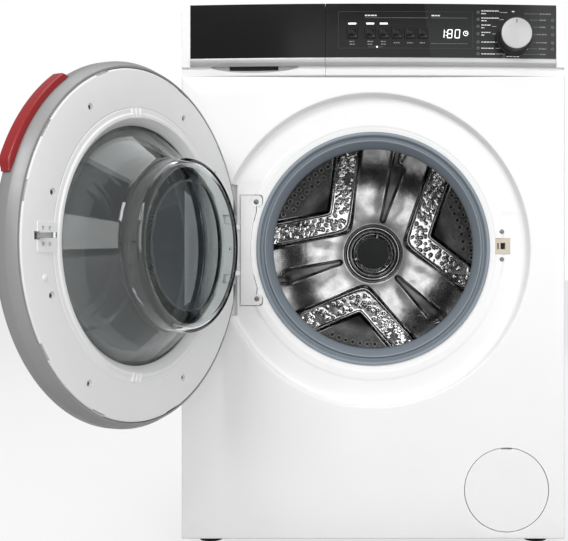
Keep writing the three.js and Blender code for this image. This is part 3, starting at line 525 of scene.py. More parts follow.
def newGroup(name, inputs):
    # A geometry tree, the identifiers of its inputs, and their outputs inside it.
    tree = bpy.data.node_groups.new(name, "GeometryNodeTree")
    keys = {}
    for label, kind in inputs.items():
        keys[label] = tree.interface.new_socket(label, in_out="INPUT",
                                                socket_type="NodeSocket" + kind).identifier
    tree.interface.new_socket("Made", in_out="OUTPUT", socket_type="NodeSocketGeometry")
    return tree, keys, addNode(tree, "NodeGroupInput").outputs


def closeGroup(tree, geometry, finish):
    real = addNode(tree, "GeometryNodeRealizeInstances", {0: geometry})
    coated = addNode(tree, "GeometryNodeSetMaterial", {"Geometry": real.outputs[0],
                                                       "Material": finishes[finish]})
    addNode(tree, "NodeGroupOutput", {"Made": coated.outputs[0]})


def grown(piece, tree, keys, values):
    # The mesh that a geometry tree makes of a piece.
    step = piece.modifiers.new("grown", "NODES")
    step.node_group = tree
    for label, value in values.items():
        step[keys[label]] = value
    return settled(piece)


def repeatTree(name, finish):
    # Copies of one shape on points that carry "turn" and "size", each spun a little at random.
    tree, keys, given = newGroup(name, {"Places": "Geometry", "Shape": "Object", "Scale": "Float",
                                        "Spin": "Float", "Seed": "Int"})
    shape = addNode(tree, "GeometryNodeObjectInfo", {"Object": given["Shape"]})
    turn, size = (addNode(tree, "GeometryNodeInputNamedAttribute", {"Name": label}, data_type=kind)
                  for label, kind in (("turn", "FLOAT_VECTOR"), ("size", "FLOAT")))
    placed = addNode(tree, "GeometryNodeInstanceOnPoints", {
        "Points": given["Places"], "Instance": shape.outputs["Geometry"],
        "Rotation": turn.outputs[0],
        "Scale": reckoned(tree, "MULTIPLY", size.outputs[0], given["Scale"])})
    chance = addNode(tree, "FunctionNodeRandomValue", {
        "Min": reckoned(tree, "MULTIPLY", given["Spin"], -1.0), "Max": given["Spin"],
        "Seed": given["Seed"]}, data_type="FLOAT")
    about = addNode(tree, "ShaderNodeCombineXYZ", {"Z": chance.outputs["Value"]})
    spun = addNode(tree, "GeometryNodeRotateInstances", {"Instances": placed.outputs[0],
                                                         "Rotation": about.outputs[0]})
    closeGroup(tree, spun.outputs[0], finish)
    return tree, keys


def repeated(name, shape, places, finish, scale=1.0, spin=0.0):
    # places is a list of (point, direction that the shape's Z axis takes, size).
    holder = newPiece(name, [p for p, d, size in places], [])
    turns = [c for p, d, size in places for c in Vector(d).to_track_quat("Z", "Y").to_euler()]
    kept = holder.data.attributes
    kept.new("turn", "FLOAT_VECTOR", "POINT").data.foreach_set("vector", turns)
    kept.new("size", "FLOAT", "POINT").data.foreach_set("value", [size for p, d, size in places])
    grown(holder, *repeatTree(name, finish), {"Shape": shape, "Scale": scale, "Spin": spin, "Seed": 3})
    bpy.data.objects.remove(shape)
    return holder


def moveMesh(piece, matrix):
    piece.data.transform(matrix)
    return piece


def standing(piece):
    # A shape turned about Y is laid so that its -Y side looks along +Z, for copying.
    return moveMesh(piece, Matrix.Rotation(math.radians(-90), 4, "X"))


def smoothStep(low, high, value):
    t = min(max((value - low) / (high - low), 0.0), 1.0)
    return t * t * (3 - 2 * t)


def arcPoints(cx, cy, radius, start, end, steps):
    return [(cx + radius * math.cos(math.radians(start + (end - start) * k / steps)),
             cy + radius * math.sin(math.radians(start + (end - start) * k / steps)))
            for k in range(steps + 1)]


screwHead = {"radius": 3.7, "height": 1.9, "recess": 1.1, "slot": 1.0}


def screwShape(name):
    # A domed pan head with a cross recess, looking along -Y before it is laid.
    r, h = screwHead["radius"], screwHead["height"]
    head = turnedPiece(name, [(0, -h), (r * 0.55, -h * 0.95), (r * 0.85, -h * 0.7), (r, -h * 0.25), (r, 0),
                              (0, 0)], 20)
    slot, deep = screwHead["slot"] / 2, screwHead["recess"]
    reach = r * 0.58
    bars = [block("bar", -reach, reach, -h - 1, -h + deep, -slot, slot),
            block("bar", -slot, slot, -h - 1, -h + deep, -reach, reach)]
    return standing(combined(head, bars))


def screws(name, places, body, scale=1.0):
    shape = screwShape(name + "Shape")
    finished(repeated(name, shape, places, "screwZinc", scale, 1.5), body, "screwZinc")


# ---------- cabinet ----------
panel = {
    "angles": 400,
    "edge": 2.5,            # radius of the folded outer edge
    "fold": 14.0,           # depth of the folded sides
    "sheet": 0.8,
    "floor": 17.0,          # depth of the recess floor, and of the flats beside hinge and lock
    "flat": 18.0,
    "hingeFlat": (464.5, 105.0),
    "lockFlat": (471.0, 52.0),
    "beadTop": 0.9,         # how far the bead round the porthole stands up
    "pocketX": -214.1,
    "pocketHalf": 103.0,
    "pocketDepth": 27.0,
    "pocketRadius": 250.2,
    "lock": (193.1, 215.7, 458.5, 483.5),
    "flapCentre": (207.7, 90.8),
    "flapHole": 66.1,
    "cupDepth": 12.0,
}


def rectangleRing(angles, inset):
    w = machine["halfWidth"] - inset
    low, high = machine["bottom"] + inset, 735.0 - inset
    ring = []
    for a in angles:
        x, z = math.cos(a), math.sin(a)
        reach = [machine["halfWidth"] / abs(x) if abs(x) > 1e-9 else 1e9]
        limit = 735.0 if z > 0 else machine["bottom"]
        reach.append((limit - machine["recessZ"]) / z if abs(z) > 1e-9 else 1e9)
        t = min(reach)
        ring.append((min(max(x * t, -w), w), min(max(machine["recessZ"] + z * t, low), high)))
    return ring


def panelDepth(x, z, radius, y):
    # The flats beside the hinge and the lock lie a little deeper than the rest of the recess floor.
    middle, half = panel["hingeFlat"] if x < 0 else panel["lockFlat"]
    side = smoothStep(-2, 2, half - abs(z - middle)) * smoothStep(198, 203, radius)
    side *= smoothStep(150, 160, abs(x))
    return y + (panel["flat"] - panel["floor"]) * side if y >= panel["floor"] - 1e-6 else y


def buildFrontPanel():
    corners = [math.atan2(z - machine["recessZ"], x) for x in (-298.5, 298.5) for z in (14.5, 735.0)]
    count = panel["angles"]
    angles = sorted([math.tau * k / count - math.pi for k in range(count)] + corners)
    rings = []
    e = panel["edge"]
    for inset, y in ((0, panel["fold"]), (0, e), (0.19 * e, 0.41 * e), (0.5 * e, 0.134 * e), (e, 0)):
        rings.append([(x, y, z) for x, z in rectangleRing(angles, inset)])
    border = rectangleRing(angles, e)
    for share in (0.35, 0.7, 1.0):
        rings.append([(x + (252 * math.cos(a) - x) * share, 0,
                       z + (machine["recessZ"] + 252 * math.sin(a) - z) * share)
                      for (x, z), a in zip(border, angles)])
    floor = panel["floor"]
    top = floor - panel["beadTop"]
    profile = [(248, 0), (246.4, 0.1), (245.2, 0.4), (244.5, 1.1), (244.2, 2.4), (242.6, 13.6), (242, 15.2),
               (240.8, 16.4), (239, 16.9), (236, floor), (226, floor), (219, floor), (212, floor),
               (206.5, floor), (205, floor - 0.08), (203.6, top + 0.08), (202, top), (198, top), (195, top),
               (193.6, top + 0.08), (192.2, floor - 0.08), (190.5, floor), (188, floor + 0.3),
               (186, floor + 0.9), (183, 18), (180, 18), (179, 18.3), (178.3, 19.2), (178, 20.5), (178, 25)]
    for radius, y in profile:
        drop = smoothStep(206, 190, radius) * 2.5 if radius < 206 else 0.0
        shift = machine["recessZ"] + (machine["drumZ"] - machine["recessZ"]) * smoothStep(0, 2.5, drop)
        ring = []
        for a in angles:
            x, z = radius * math.cos(a), shift + radius * math.sin(a)
            ring.append((x, panelDepth(x, z, radius, y) if 190 < radius < 234 else y, z))
        rings.append(ring)
    n = len(angles)
    faces = []
    for k in range(len(rings) - 1):
        faces += [(k * n + i, k * n + (i + 1) % n, (k + 1) * n + (i + 1) % n, (k + 1) * n + i)
                  for i in range(n)]
    skin = newPiece("frontPanelSkin", [p for ring in rings for p in ring], faces)
    if skin.data.polygons[0].normal.y > 0 or skin.data.polygons[5 * n].normal.y > 0:
        skin.data.flip_normals()
    thick = skin.modifiers.new("sheet", "SOLIDIFY")
    thick.thickness = panel["sheet"] * mm
    thick.offset = -1
    settled(skin)
    outward(skin)
    z0 = machine["recessZ"]
    half, deep, reach = panel["pocketHalf"], panel["pocketDepth"], panel["pocketRadius"]
    hollow = combined(block("hollow", -298, panel["pocketX"], -1, deep, z0 - half, z0 + half),
                      [disc("round", reach, -2, deep + 1, (0, z0))], "INTERSECT")
    tray = combined(block("tray", -299, panel["pocketX"] + 1, 17.2, deep + 1, z0 - half - 1, z0 + half + 1),
                    [disc("round", reach + 1, 10, deep + 2, (0, z0))], "INTERSECT")
    edge = combined(block("edge", -299, panel["pocketX"], 0.05, deep + 1, z0 - half - 1, z0 + half + 1),
                    [tube("round", reach + 1, 241.2, -1, deep + 2, (0, z0))], "INTERSECT")
    combined(skin, [tray, edge], "UNION")
    x, z = panel["flapCentre"]
    hole = panel["flapHole"]
    cutters = [hollow, disc("hole", hole + 0.4, -1, 2, (x, z)),
               block("lockHole", panel["lock"][0] - 0.3, panel["lock"][1] + 0.3, 10, 24,
                     panel["lock"][2] - 0.3, panel["lock"][3] + 0.3)]
    combined(skin, cutters)
    deep = panel["cupDepth"]
    cup = turnedPiece("cup", [(hole, 0), (hole + 1, 0), (hole + 1, deep), (42, deep), (42, deep - 1),
                              (hole, deep - 1)], 128, (x, z))
    combined(skin, [cup], "UNION")
    finished(skin, "cabinet", "white_enamel", "front_panel", sharp=38)


def buildSides():
    w, fold = machine["halfWidth"], 3.0
    for side, node in ((1, "right_side_panel"), (-1, "left_side_panel")):
        sheet = 1.0
        outer = rounded([(w - 16, 14.3), (w, 14.3, fold), (w, 558.7, fold), (w - 16, 558.7),
                         (w - 16, 557.7, 0),
                         (w - sheet, 557.7, fold - 1), (w - sheet, 15.3, fold - 1), (w - 16, 15.3, 0)], 0,
                         6)
        outline = [(x * side, y) for x, y in outer]
        wall = plate(node[:-6] + "Skin", outline, 39.8, 820.7, "Z")
        notch = block("notch", -300, 300, 0, 20.3, 735.0, 900)
        combined(wall, [notch])
        finished(wall, "cabinet", "white_enamel", node, soften=0.25)


top = {"edge": 1.0, "rim": 16.0, "grooveZ": 830.0, "grooveHalf": 0.6}


def buildTop():
    w, z, half = machine["halfWidth"], top["grooveZ"], top["grooveHalf"]
    board = block("topBoard", -w, w, 20.3, 560, 821.0, 845.0)
    combined(board, [block("hollow", -w + top["rim"], w - top["rim"], 36.3, 544, 820, 833)])
    combined(board, [plate("groove", [(side * (w - 1.2), z - half), (side * (w + 1), z - half),
                                      (side * (w + 1), z + half), (side * (w - 1.2), z + half)], 10, 570)
                     for side in (1, -1)])
    finished(board, "cabinet", "white_plastic", "top_cover", soften=top["edge"], segments=3)


rear = {"cover": 175.0, "coverZ": 457.0, "dome": 11.0}


def buildRear():
    # The back sheet with its pressed ribs, and the pressed cover over the pulley.
    w = machine["halfWidth"]
    r, z = rear["cover"] - 12, rear["coverZ"]
    sheet = block("rearSheet", -w, w, 559, 560, 39.8, 820.7)
    ribs = []
    for x0, x1, z0, z1 in ((-255, 255, 662, 676), (-255, 180, 690, 704), (-255, 255, 232, 246),
                           (-255, 255, 204, 218), (-255, 255, 90, 104)):
        outline = roundedBox(x0, x1, z0, z1, 6.9, 6)
        inner = roundedBox(x0 + 2, x1 - 2, z0 + 2, z1 - 2, 4.9, 6)
        ribs.append(lofted("rib", [[(x, 559.5, q) for x, q in outline], [(x, 562, q) for x, q in inner]]))
    combined(sheet, ribs, "UNION")
    ports = [disc("port", r, 550, 570, (0, z), 96), disc("port", 13.6, 550, 570, (-200.5, 790), 40),
             disc("port", 9.6, 550, 570, (238.5, 770), 40), disc("port", 13.6, 550, 570, (228.5, 695), 40)]
    combined(sheet, ports)
    finished(sheet, "cabinet", "galvanised_steel", "rear_panel", soften=0.3)

    y, d = 560.3, rear["dome"]
    outer = rear["cover"]
    shell = [(0, y + d + 1), (60, y + d + 1), (64, y + d - 1.5), (76, y + d - 1.5), (80, y + d + 1),
             (outer - 42, y + d + 1), (outer - 38, y + d + 0.4), (outer - 24, y + 1.8), (outer - 21, y + 1),
             (outer, y + 1), (outer, y), (outer - 22, y), (outer - 25, y + 1), (outer - 39, y + d - 0.6),
             (outer - 43, y + d), (80.5, y + d), (76.5, y + d - 2.5), (63.5, y + d - 2.5), (59.5, y + d),
             (0, y + d)]
    cover = turnedPiece("pulleyCover", shell, 120, (0, z))
    finished(cover, "cabinet", "galvanised_steel", "rear_service_cover", sharp=50)
    places = []
    for k in range(6):
        a = math.radians(60 * k + 30)
        places.append(((168 * math.cos(a), y + 1.05, z + 168 * math.sin(a)), (0, 1, 0), 1))
    for x in (-288, -150, 0, 150, 288):
        places += [((x, 560.05, 812), (0, 1, 0), 1), ((x, 560.05, 48), (0, 1, 0), 1)]
    for q in (180, 330, 480, 630, 740):
        places += [((-289, 560.05, q), (0, 1, 0), 1), ((289, 560.05, q), (0, 1, 0), 1)]
    screws("rearScrews", places, "cabinet", scale=1.1)


def buildPorts():
    # Inlet thread, drain spigot and cable gland.
    x, z = -200.5, 790.0
    loop = [(0, 547), (13, 547), (13, 561)]
    for k in range(7):
        loop += [(13, 561 + 2 * k + 0.2), (12.1, 561 + 2 * k + 0.9), (12.1, 561 + 2 * k + 1.2)]
    loop += [(13, 575.4), (12.4, 576), (9, 576), (9, 556), (0, 556)]
    stub = turnedPiece("inletStub", loop, 64, (x, z))
    body = block("valveBody", x - 28, x + 28, 490, 548, z - 20, z + 20)
    combined(body, [stub], "UNION")
    body.name = "inletValve"
    finished(body, "cabinet", "white_plastic", "water_inlet_valve", soften=0.4, sharp=45)
    x, z = 228.5, 695.0
    low, high = (v * 1000 for v in (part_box("drain_outlet")[0].y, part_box("drain_outlet")[1].y))
    spigot = [(0, low), (11, low), (11, 558), (13, 558), (13, 562), (10.5, 563)]
    for k in range(3):
        spigot += [(10.5, 564 + 4.4 * k), (11.9, 566.8 + 4.4 * k), (10.5, 567.2 + 4.4 * k)]
    spigot += [(10.2, high), (8, high), (8, low + 4), (0, low + 4)]
    finished(turnedPiece("drainSpigot", spigot, 56, (x, z)), "cabinet", "grey_plastic", "drain_outlet",
             sharp=40)
    x, z = 238.5, 770.0
    gland = [(0, 552), (9, 552), (9, 560.3), (13, 560.3), (13, 563.4), (12.4, 564), (9, 564.4), (8.2, 566),
             (8.2, 567), (7.6, 567.4), (7.6, 568.2), (7.0, 568.6), (6.4, 570), (3.6, 570), (3.6, 558),
             (0, 558)]
    finished(turnedPiece("cableGland", gland, 48, (x, z)), "cabinet", "black_rubber", "cable_gland",
             sharp=40)


def buildFeet():
    pad = [(0, 0), (16.5, 0), (18.4, 0.7), (19, 2.2), (18.6, 5), (16.6, 7), (9, 7.4), (9, 7.6), (0, 7.6)]
    thread = [(0, 7)]
    for k in range(29):
        thread += [(4.2, 7.6 + k), (4.95, 8.1 + k)]
    thread += [(4.2, 37), (0, 37.4)]
    for row, y in (("front", 52.0), ("rear", 522.0)):
        for column, x in (("left", -260.5), ("right", 260.5)):
            name = row + "_" + column + "_foot"
            upright = Matrix.Translation((x * mm, y * mm, 0)) @ Matrix.Rotation(math.radians(90), 4, "X")
            rubber = moveMesh(turnedPiece(name + "Pad", pad, 56), upright)
            finished(outward(rubber), name, "black_rubber", name, sharp=40)
            stem = turnedPiece(name + "Stem", thread, 28)
            nut = plate("nut", arcPoints(0, 0, 9.2, 0, 300, 5), 7.5, 13.0)
            stem = moveMesh(gathered(name + "Stem", [stem, nut]), upright)
            finished(outward(stem), name, "stainless_steel", sharp=30)


buildFrontPanel()
buildSides()
buildTop()
buildRear()
buildPorts()
buildFeet()
print("cabinet built")


# ---------- control console ----------
console = {
    "bow": 11.0,            # how far the middle stands out from the ends
    "left": -73.7,
    "windowRight": 284.5,
    "windowBottom": 760.9,
    "back": 20.0,
    "buttonZ": 799.5,
    "buttonXs": (-32.3, -4.6, 16.3, 36.2, 56.7, 76.4),
    "buttonNames": ("start_pause", "dry_option", "temp_dry", "delay", "spin", "temperature"),
    "buttonHalf": 8.0,
    "knob": (218.0, 793.0),
}


def bowY(x):
    return -console["bow"] * (1 - (x / machine["halfWidth"]) ** 2)


def bowedBar(name, section, x0, x1, step=6.0):
    # A closed (y, z) section drawn along X, following the bow.
    count = max(2, math.ceil((x1 - x0) / step))
    xs = [x0 + (x1 - x0) * k / count for k in range(count + 1)]
    return lofted(name, [[(x, y + (bowY(x) if y < console["back"] - 0.5 else 0), z) for y, z in section]
                         for x in xs])


def consoleFront(name, face, wall, cheek, skirt):
    # The wall behind the window, the flush cheek beside it and the skirt below, each between two places
    # along X.
    top, back = machine["top"], console["back"]
    body, side = (bowedBar(label, [(y, 748.5), (y, top), (back, top), (back, 748.5)], *ends)
                  for label, y, ends in ((name, face, wall), ("cheek", 0, cheek)))
    under = rounded([(5.0, 735.3), (4.6, 749.2), (back, 749.2, 0), (back, 735.3, 0)], 1.0, 3)
    return combined(body, [side, bowedBar("skirt", under, *skirt)], "UNION")


def buildFascia():
    back, right = console["back"], machine["halfWidth"]
    top = machine["top"]
    body = consoleFront("fascia", 3.3, (console["left"], right - 13), (console["windowRight"] + 0.4, right),
                        (console["left"], right))
    hollow = bowedBar("hollow", [(8, 738.5), (8, top - 3), (back + 1, top - 3), (back + 1, 738.5)],
                      console["left"] + 3, right - 3)
    x, z = console["knob"]
    cuts = [hollow, disc("shaftHole", 7, -30, 16, (x, z), 40)]
    reach = console["buttonHalf"] + 0.5
    for bx in console["buttonXs"]:
        cuts.append(block("cap", bx - reach, bx + reach, -30, 16, console["buttonZ"] - reach,
                          console["buttonZ"] + reach))
    combined(body, cuts)
    body.name = "fasciaShell"
    finished(body, "cabinet", "white_plastic", "console_fascia", soften=0.5)


def buildWindow():
    low, top = console["windowBottom"], machine["top"]
    body = bowedBar("fasciaWindow", [(0, low), (0, top), (3, top), (3, low)], console["left"],
                    console["windowRight"], 4.0)
    x, z = console["knob"]
    reach = console["buttonHalf"] + 0.5
    cuts = [disc("shaftHole", 7, -30, 16, (x, z), 40)]
    for bx in console["buttonXs"]:
        outline = roundedBox(bx - reach, bx + reach, console["buttonZ"] - reach, console["buttonZ"] + reach,
                             2.2, 4)
        cuts.append(plate("cap", outline, -30, 16))
    combined(body, cuts)
    finished(body, "cabinet", "gloss_black", "console_window", soften=0.25)


trimSection = [(3, 760.6), (-4.3, 760.6), (-4.9, 760.2), (-5, 759.6), (-5, 754.0), (-4.7, 753.3),
               (-1.2, 749.2),
               (-0.6, 748.8), (3, 748.8)]


def buildTrim():
    bar = bowedBar("silverTrim", trimSection, console["left"], console["windowRight"])
    end = plate("endCut", [(285.5, -20), (285.5, 5), (281.0, -20)], 740, 770, "Z")
    combined(bar, [end])
    finished(bar, "cabinet", "silver_plastic", "console_trim", sharp=28)


def buildButtons():
    reach = console["buttonHalf"]
    for x, name in zip(console["buttonXs"], console["buttonNames"]):
        z = console["buttonZ"]
        y = bowY(x)
        outline = roundedBox(x - reach, x + reach, z - reach, z + reach, 2.0, 4)
        dish = roundedBox(x - reach + 2, x + reach - 2, z - reach + 2, z + reach - 2, 3.0, 4)
        cap = plate("cap", outline, y - 1.6, y + 5)
        stem = block("stem", x - 2.5, x + 2.5, y + 4, y + 13, z - 2.5, z + 2.5)
        combined(cap, [stem], "UNION")
        rings = [[(px, y - 1.7, pz) for px, pz in dish],
                 [(x + (px - x) * 0.86, y - 1.1, z + (pz - z) * 0.86) for px, pz in dish]]
        combined(cap, [lofted("dish", rings)])
        cap.name = "buttonCap_" + name
        finished(cap, "button_" + name, "gloss_black", "button_" + name, soften=0.3)


def bars(name, strips, finish, proud=0.14):
    # Printed or lit strips (x0, x1, z0, z1) that lie on the bowed window.
    vertices, faces = [], []
    for x0, x1, z0, z1 in strips:
        count = max(1, math.ceil((x1 - x0) / 8))
        start = len(vertices)
        for k in range(count + 1):
            x = x0 + (x1 - x0) * k / count
            y = bowY(x)
            vertices += [(x, y - proud, z0), (x, y - proud, z1), (x, y - 0.02, z1), (x, y - 0.02, z0)]
        n = start + 4 * count
        faces += [(start, start + 3, start + 2, start + 1), (n, n + 1, n + 2, n + 3)]
        for k in range(count):
            a = start + 4 * k
            faces += [(a + i, a + (i + 1) % 4, a + 4 + (i + 1) % 4, a + 4 + i) for i in range(4)]
    finished(outward(newPiece(name, vertices, faces)), "cabinet", finish, sharp=20)


def printedWord(x0, width, z, height, chance):
    # A run of short dashes as long as a word or two, so that no letters are drawn.
    strips = []
    x = x0
    while x < x0 + width - 1.2:
        long = min(chance.uniform(2.2, 5.2), x0 + width - x)
        strips.append((x, x + long, z, z + height))
        x += long + 0.9
    return strips


def ringPlace(x, z):
    return ((x, bowY(x) - 0.1, z), (0, -1, 0), 1)


def buildPrint():
    chance = random.Random(7)
    white, grey = [], []
    leftRows = ((832.4, 2, 12), (821.4, 2, 6), (810.5, 2, 7), (799.1, 2, 5.5), (786.4, 1, 6),
                (776.8, 1, 6.5), (768.1, 1, 15))
    for z, lines, lead in leftRows:
        width = 27 if lines == 2 and z > 815 else 15 if lines == 2 else 21
        for k in range(lines):
            low = z + (1.4 if lines == 2 else -0.8) - 4.2 * k
            white += printedWord(167.5, width if k == 0 else width * 0.3, low, 1.5, chance)
        white.append((169 + width, 169 + width + lead, z - 0.2, z + 0.25))
    rightRows = ((831.0, 258.5, 18, 22), (821.4, 258.5, 12, 14), (810.5, 258.5, 10, 8),
                 (799.1, 254.0, 17, 3),
                 (786.4, 252.5, 19, 2), (776.8, 257.0, 12, 15), (768.1, 258.5, 10, 24))
    for z, x, width, lead in rightRows:
        grey += printedWord(x, width, z - 0.8, 1.6, chance)
        grey.append((x - 1.5 - lead, x - 1.5, z - 0.2, z + 0.2))
    white += printedWord(215.2, 5.6, 833.2, 1.7, chance)
    white += printedWord(206.5, 20, 763.6, 1.5, chance)
    for x, width in ((-32.3, 9), (-4.6, 9), (16.3, 9)):
        grey += printedWord(x - width / 2, width, 785.6, 1.5, chance)
        grey += printedWord(x - width / 2 + 0.4, width - 1, 781.4, 1.5, chance)
    for x in (36.2, 56.7, 76.4):
        grey += printedWord(x - 4.5, 9, 783.6, 1.5, chance)
    white += printedWord(-12.6, 18, 825.6, 1.9, chance)
    white += printedWord(90, 14, 825.6, 1.9, chance)
    grey += [(-13, 85, 822.8, 823.2), (89.6, 146, 822.8, 823.2), (89.6, 146, 783.2, 783.6),
             (-8, 15, 777.9, 778.2)]
    bars("whitePrint", white, "whiteInk")
    bars("greyPrint", grey, "greyInk")
    bars("dimFrame", [(-54, 154, 832.4, 832.7), (-54, 154, 776.0, 776.3), (-54, -53.7, 776, 832.7),
                      (153.7, 154, 776, 832.7)], "dimInk")

    icon = turnedPiece("iconShape", [(1.5, -0.06), (2.1, -0.06), (2.1, 0.06), (1.5, 0.06)], 16)
    rows = [ringPlace(162.4, z) for z in (832.4, 821.4, 810.5, 799.1, 786.4, 776.8, 768.1)]
    rows += [ringPlace(279.0, z) for z in (821.4, 810.5, 799.1, 786.4, 776.8)] + [ringPlace(202.5, 764.4)]
    finished(repeated("iconRings", standing(icon), rows, "greyInk"), "cabinet", "greyInk")


display = {"left": 106.0, "bottom": 792.3, "height": 12.6, "width": 6.8, "stroke": 1.15, "lean": 0.9}
segmentsOf = {"1": "bc", "8": "abcdefg", "0": "abcdef"}


def segment(x, z, along, length, stroke):
    # One lamp of a digit: a bar with pointed ends.
    h = stroke / 2
    outline = [(0, 0), (h, h), (length - h, h), (length, 0), (length - h, -h), (h, -h)]
    points = [(x + a, z + b) if along == "x" else (x + b, z + a) for a, b in outline]
    lean = display["lean"] / display["height"]
    points = [(px + (pz - display["bottom"]) * lean, pz) for px, pz in points]
    y = bowY(x)
    return plate("segment", points, y - 0.2, y - 0.03)


def buildDisplay():
    w, h, s = display["width"], display["height"], display["stroke"]
    low = display["bottom"]
    lit = []
    for digit, x in (("1", display["left"] - 3.5), ("8", display["left"] + 8.6),
                     ("0", display["left"] + 20.4)):
        spots = {"a": (x, low + h, "x", w), "g": (x, low + h / 2, "x", w), "d": (x, low, "x", w),
                 "b": (x + w, low + h / 2, "z", h / 2), "c": (x + w, low, "z", h / 2),
                 "f": (x, low + h / 2, "z", h / 2), "e": (x, low, "z", h / 2)}
        lit += [segment(*spots[key][:3], spots[key][3], s) for key in segmentsOf[digit]]
    for dz in (0.3, 0.7):
        x = display["left"] + 6.2
        lit.append(block("dot", x, x + 1.3, bowY(x) - 0.2, bowY(x) - 0.03, low + h * dz - 0.7,
                         low + h * dz + 0.7))
    ring = tube("clock", 3.9, 3.1, bowY(143) - 0.2, bowY(143) - 0.03, (143.2, 799.4), 32)
    hands = [block("hand", 142.9, 143.5, bowY(143) - 0.2, bowY(143) - 0.03, 799.2, 802.0),
             block("hand", 142.9, 145.4, bowY(143) - 0.2, bowY(143) - 0.03, 799.0, 799.6)]
    digits = gathered("displayDigits", lit + [ring] + hands)
    finished(digits, "cabinet", "lamp", sharp=20)
    for x, name in zip(console["buttonXs"][:3], console["buttonNames"]):
        bars("lamp_" + name, [(x - 6, x + 6, 812.8, 815.1)], "lamp", proud=0.3)
    dot = disc("lampDots", 1.3, bowY(6) - 0.2, bowY(6) - 0.03, (6, 778.1), 20)
    other = disc("lampDot", 1.6, bowY(238) - 0.2, bowY(238) - 0.03, (237.9, 776.8), 20)
    finished(gathered("lampDots", [dot, other]), "cabinet", "lamp", sharp=20)


knob = {"radius": 24.8, "skirt": 27.0, "length": 29.0, "back": -5.7}


def buildKnob():
    x, z = console["knob"]
    back = bowY(x - knob["skirt"]) - 0.8
    front = back - knob["length"]
    r, skirt = knob["radius"], knob["skirt"]
    side = [(0, front + 1.2), (r - 2.0, front + 1.2), (r - 1.2, front + 1.0), (r - 0.2, front + 2.2),
            (r + 0.1, front + 4), (r + 0.7, back - 4.4), (r + 1.4, back - 3.7), (skirt - 0.3, back - 3.2),
            (skirt, back - 2.6), (skirt, back), (6, back), (6, back + 20), (0, back + 20)]
    grip = turnedPiece("knobGrip", side, 144, (x, z))
    flutes = []
    for k in range(48):
        a = math.tau * k / 48
        flutes.append(disc("flute", 0.7, front + 4.5, back - 5, (x + (r + 0.62) * math.cos(a),
                                                                 z + (r + 0.62) * math.sin(a)), 8))
    combined(grip, flutes)
    finished(grip, "program_knob", "darkPlastic", "program_knob", sharp=35)
    face = [(0, front), (r - 3.2, front), (r - 2.1, front + 0.3), (r - 1.5, front + 1.0),
            (r - 1.4, front + 1.4),
            (0, front + 1.4)]
    finished(turnedPiece("knobFaceDisc", face, 144, (x, z)), "program_knob", "knobFace", sharp=30)
    pointer = block("knobPointer", x - 0.7, x + 0.7, front - 0.12, front + 0.4, z + r - 9, z + r - 3.4)
    finished(pointer, "program_knob", "darkPlastic", soften=0.05)


buildFascia()
buildWindow()
buildTrim()
buildButtons()
buildPrint()
buildDisplay()
buildKnob()
print("console built")


# ---------- detergent drawer ----------
def buildDrawer():
    left, right = -machine["halfWidth"], -74.3
    edge = -console["windowRight"]
    top, back = machine["top"], console["back"]
    body = consoleFront("drawerShell", 1.2, (left + 13, right), (left, edge - 0.1), (left, right))
    scoop = []
    count = 40
    for k in range(1, count):
        t = -1 + 2 * k / count
        x = -184 + 72 * t
        reach = math.sqrt(1 - t * t)
        scoop.append([(x, bowY(x) + 4 + 11 * reach * math.cos(a), 752 + 12.5 * reach * math.sin(a))
                      for a in (math.tau * j / 28 for j in range(28))])
    slot = block("slot", -225, -148, -12, 14, 744.5, 752.5)
    vent = block("vent", -225, -150, 10, back + 1, 770, 825)
    combined(body, [lofted("scoop", scoop), slot, vent])
    finished(body, "drawer", "white_plastic", "drawer_front", soften=0.4)

    window = bowedBar("drawerWindow", [(0, console["windowBottom"]), (0, top), (1.15, top),
                                       (1.15, console["windowBottom"])], edge, right, 4.0)
    finished(window, "drawer", "gloss_black", soften=0.2)
    trim = bowedBar("drawerTrim", [(min(y, 1.15), z) for y, z in trimSection], edge, right)
    end = plate("endCut", [(edge - 1, -20), (edge - 1, 5), (edge + 3.5, -20)], 740, 770, "Z")
    combined(trim, [end])
    finished(trim, "drawer", "silver_plastic", sharp=28)
    shade = block("gripShade", -224.5, -148.5, 8.5, 13.8, 745.0, 752.2)
    finished(shade, "drawer", "darkPlastic", soften=0.3)

    x0, x1, y0, y1, z0, z1 = -286, -85.5, 20.3, 235.3, 746.8, 800.8
    wall = 2.5
    tray = block("drawerTrayShell", x0, x1, y0, y1, z0, z1)
    width = (x1 - x0) / 3
    wells = []
    for k in range(3):
        a, b = x0 + width * k + wall, x0 + width * (k + 1) - wall
        outline = roundedBox(a, b, y0 + wall, y1 - wall, 8, 5)
        low = [(px, py, z0 + wall) for px, py in
               roundedBox(a + 3, b - 3, y0 + wall + 3, y1 - wall - 3, 8, 5)]
        wells.append(lofted("well", [low, [(px, py, z0 + wall + 6) for px, py in outline],
                                     [(px, py, z1 + 2) for px, py in outline]]))
    combined(tray, wells)
    finished(tray, "drawer", "white_plastic", "drawer_tray", soften=0.5)


buildDrawer()
print("drawer built")


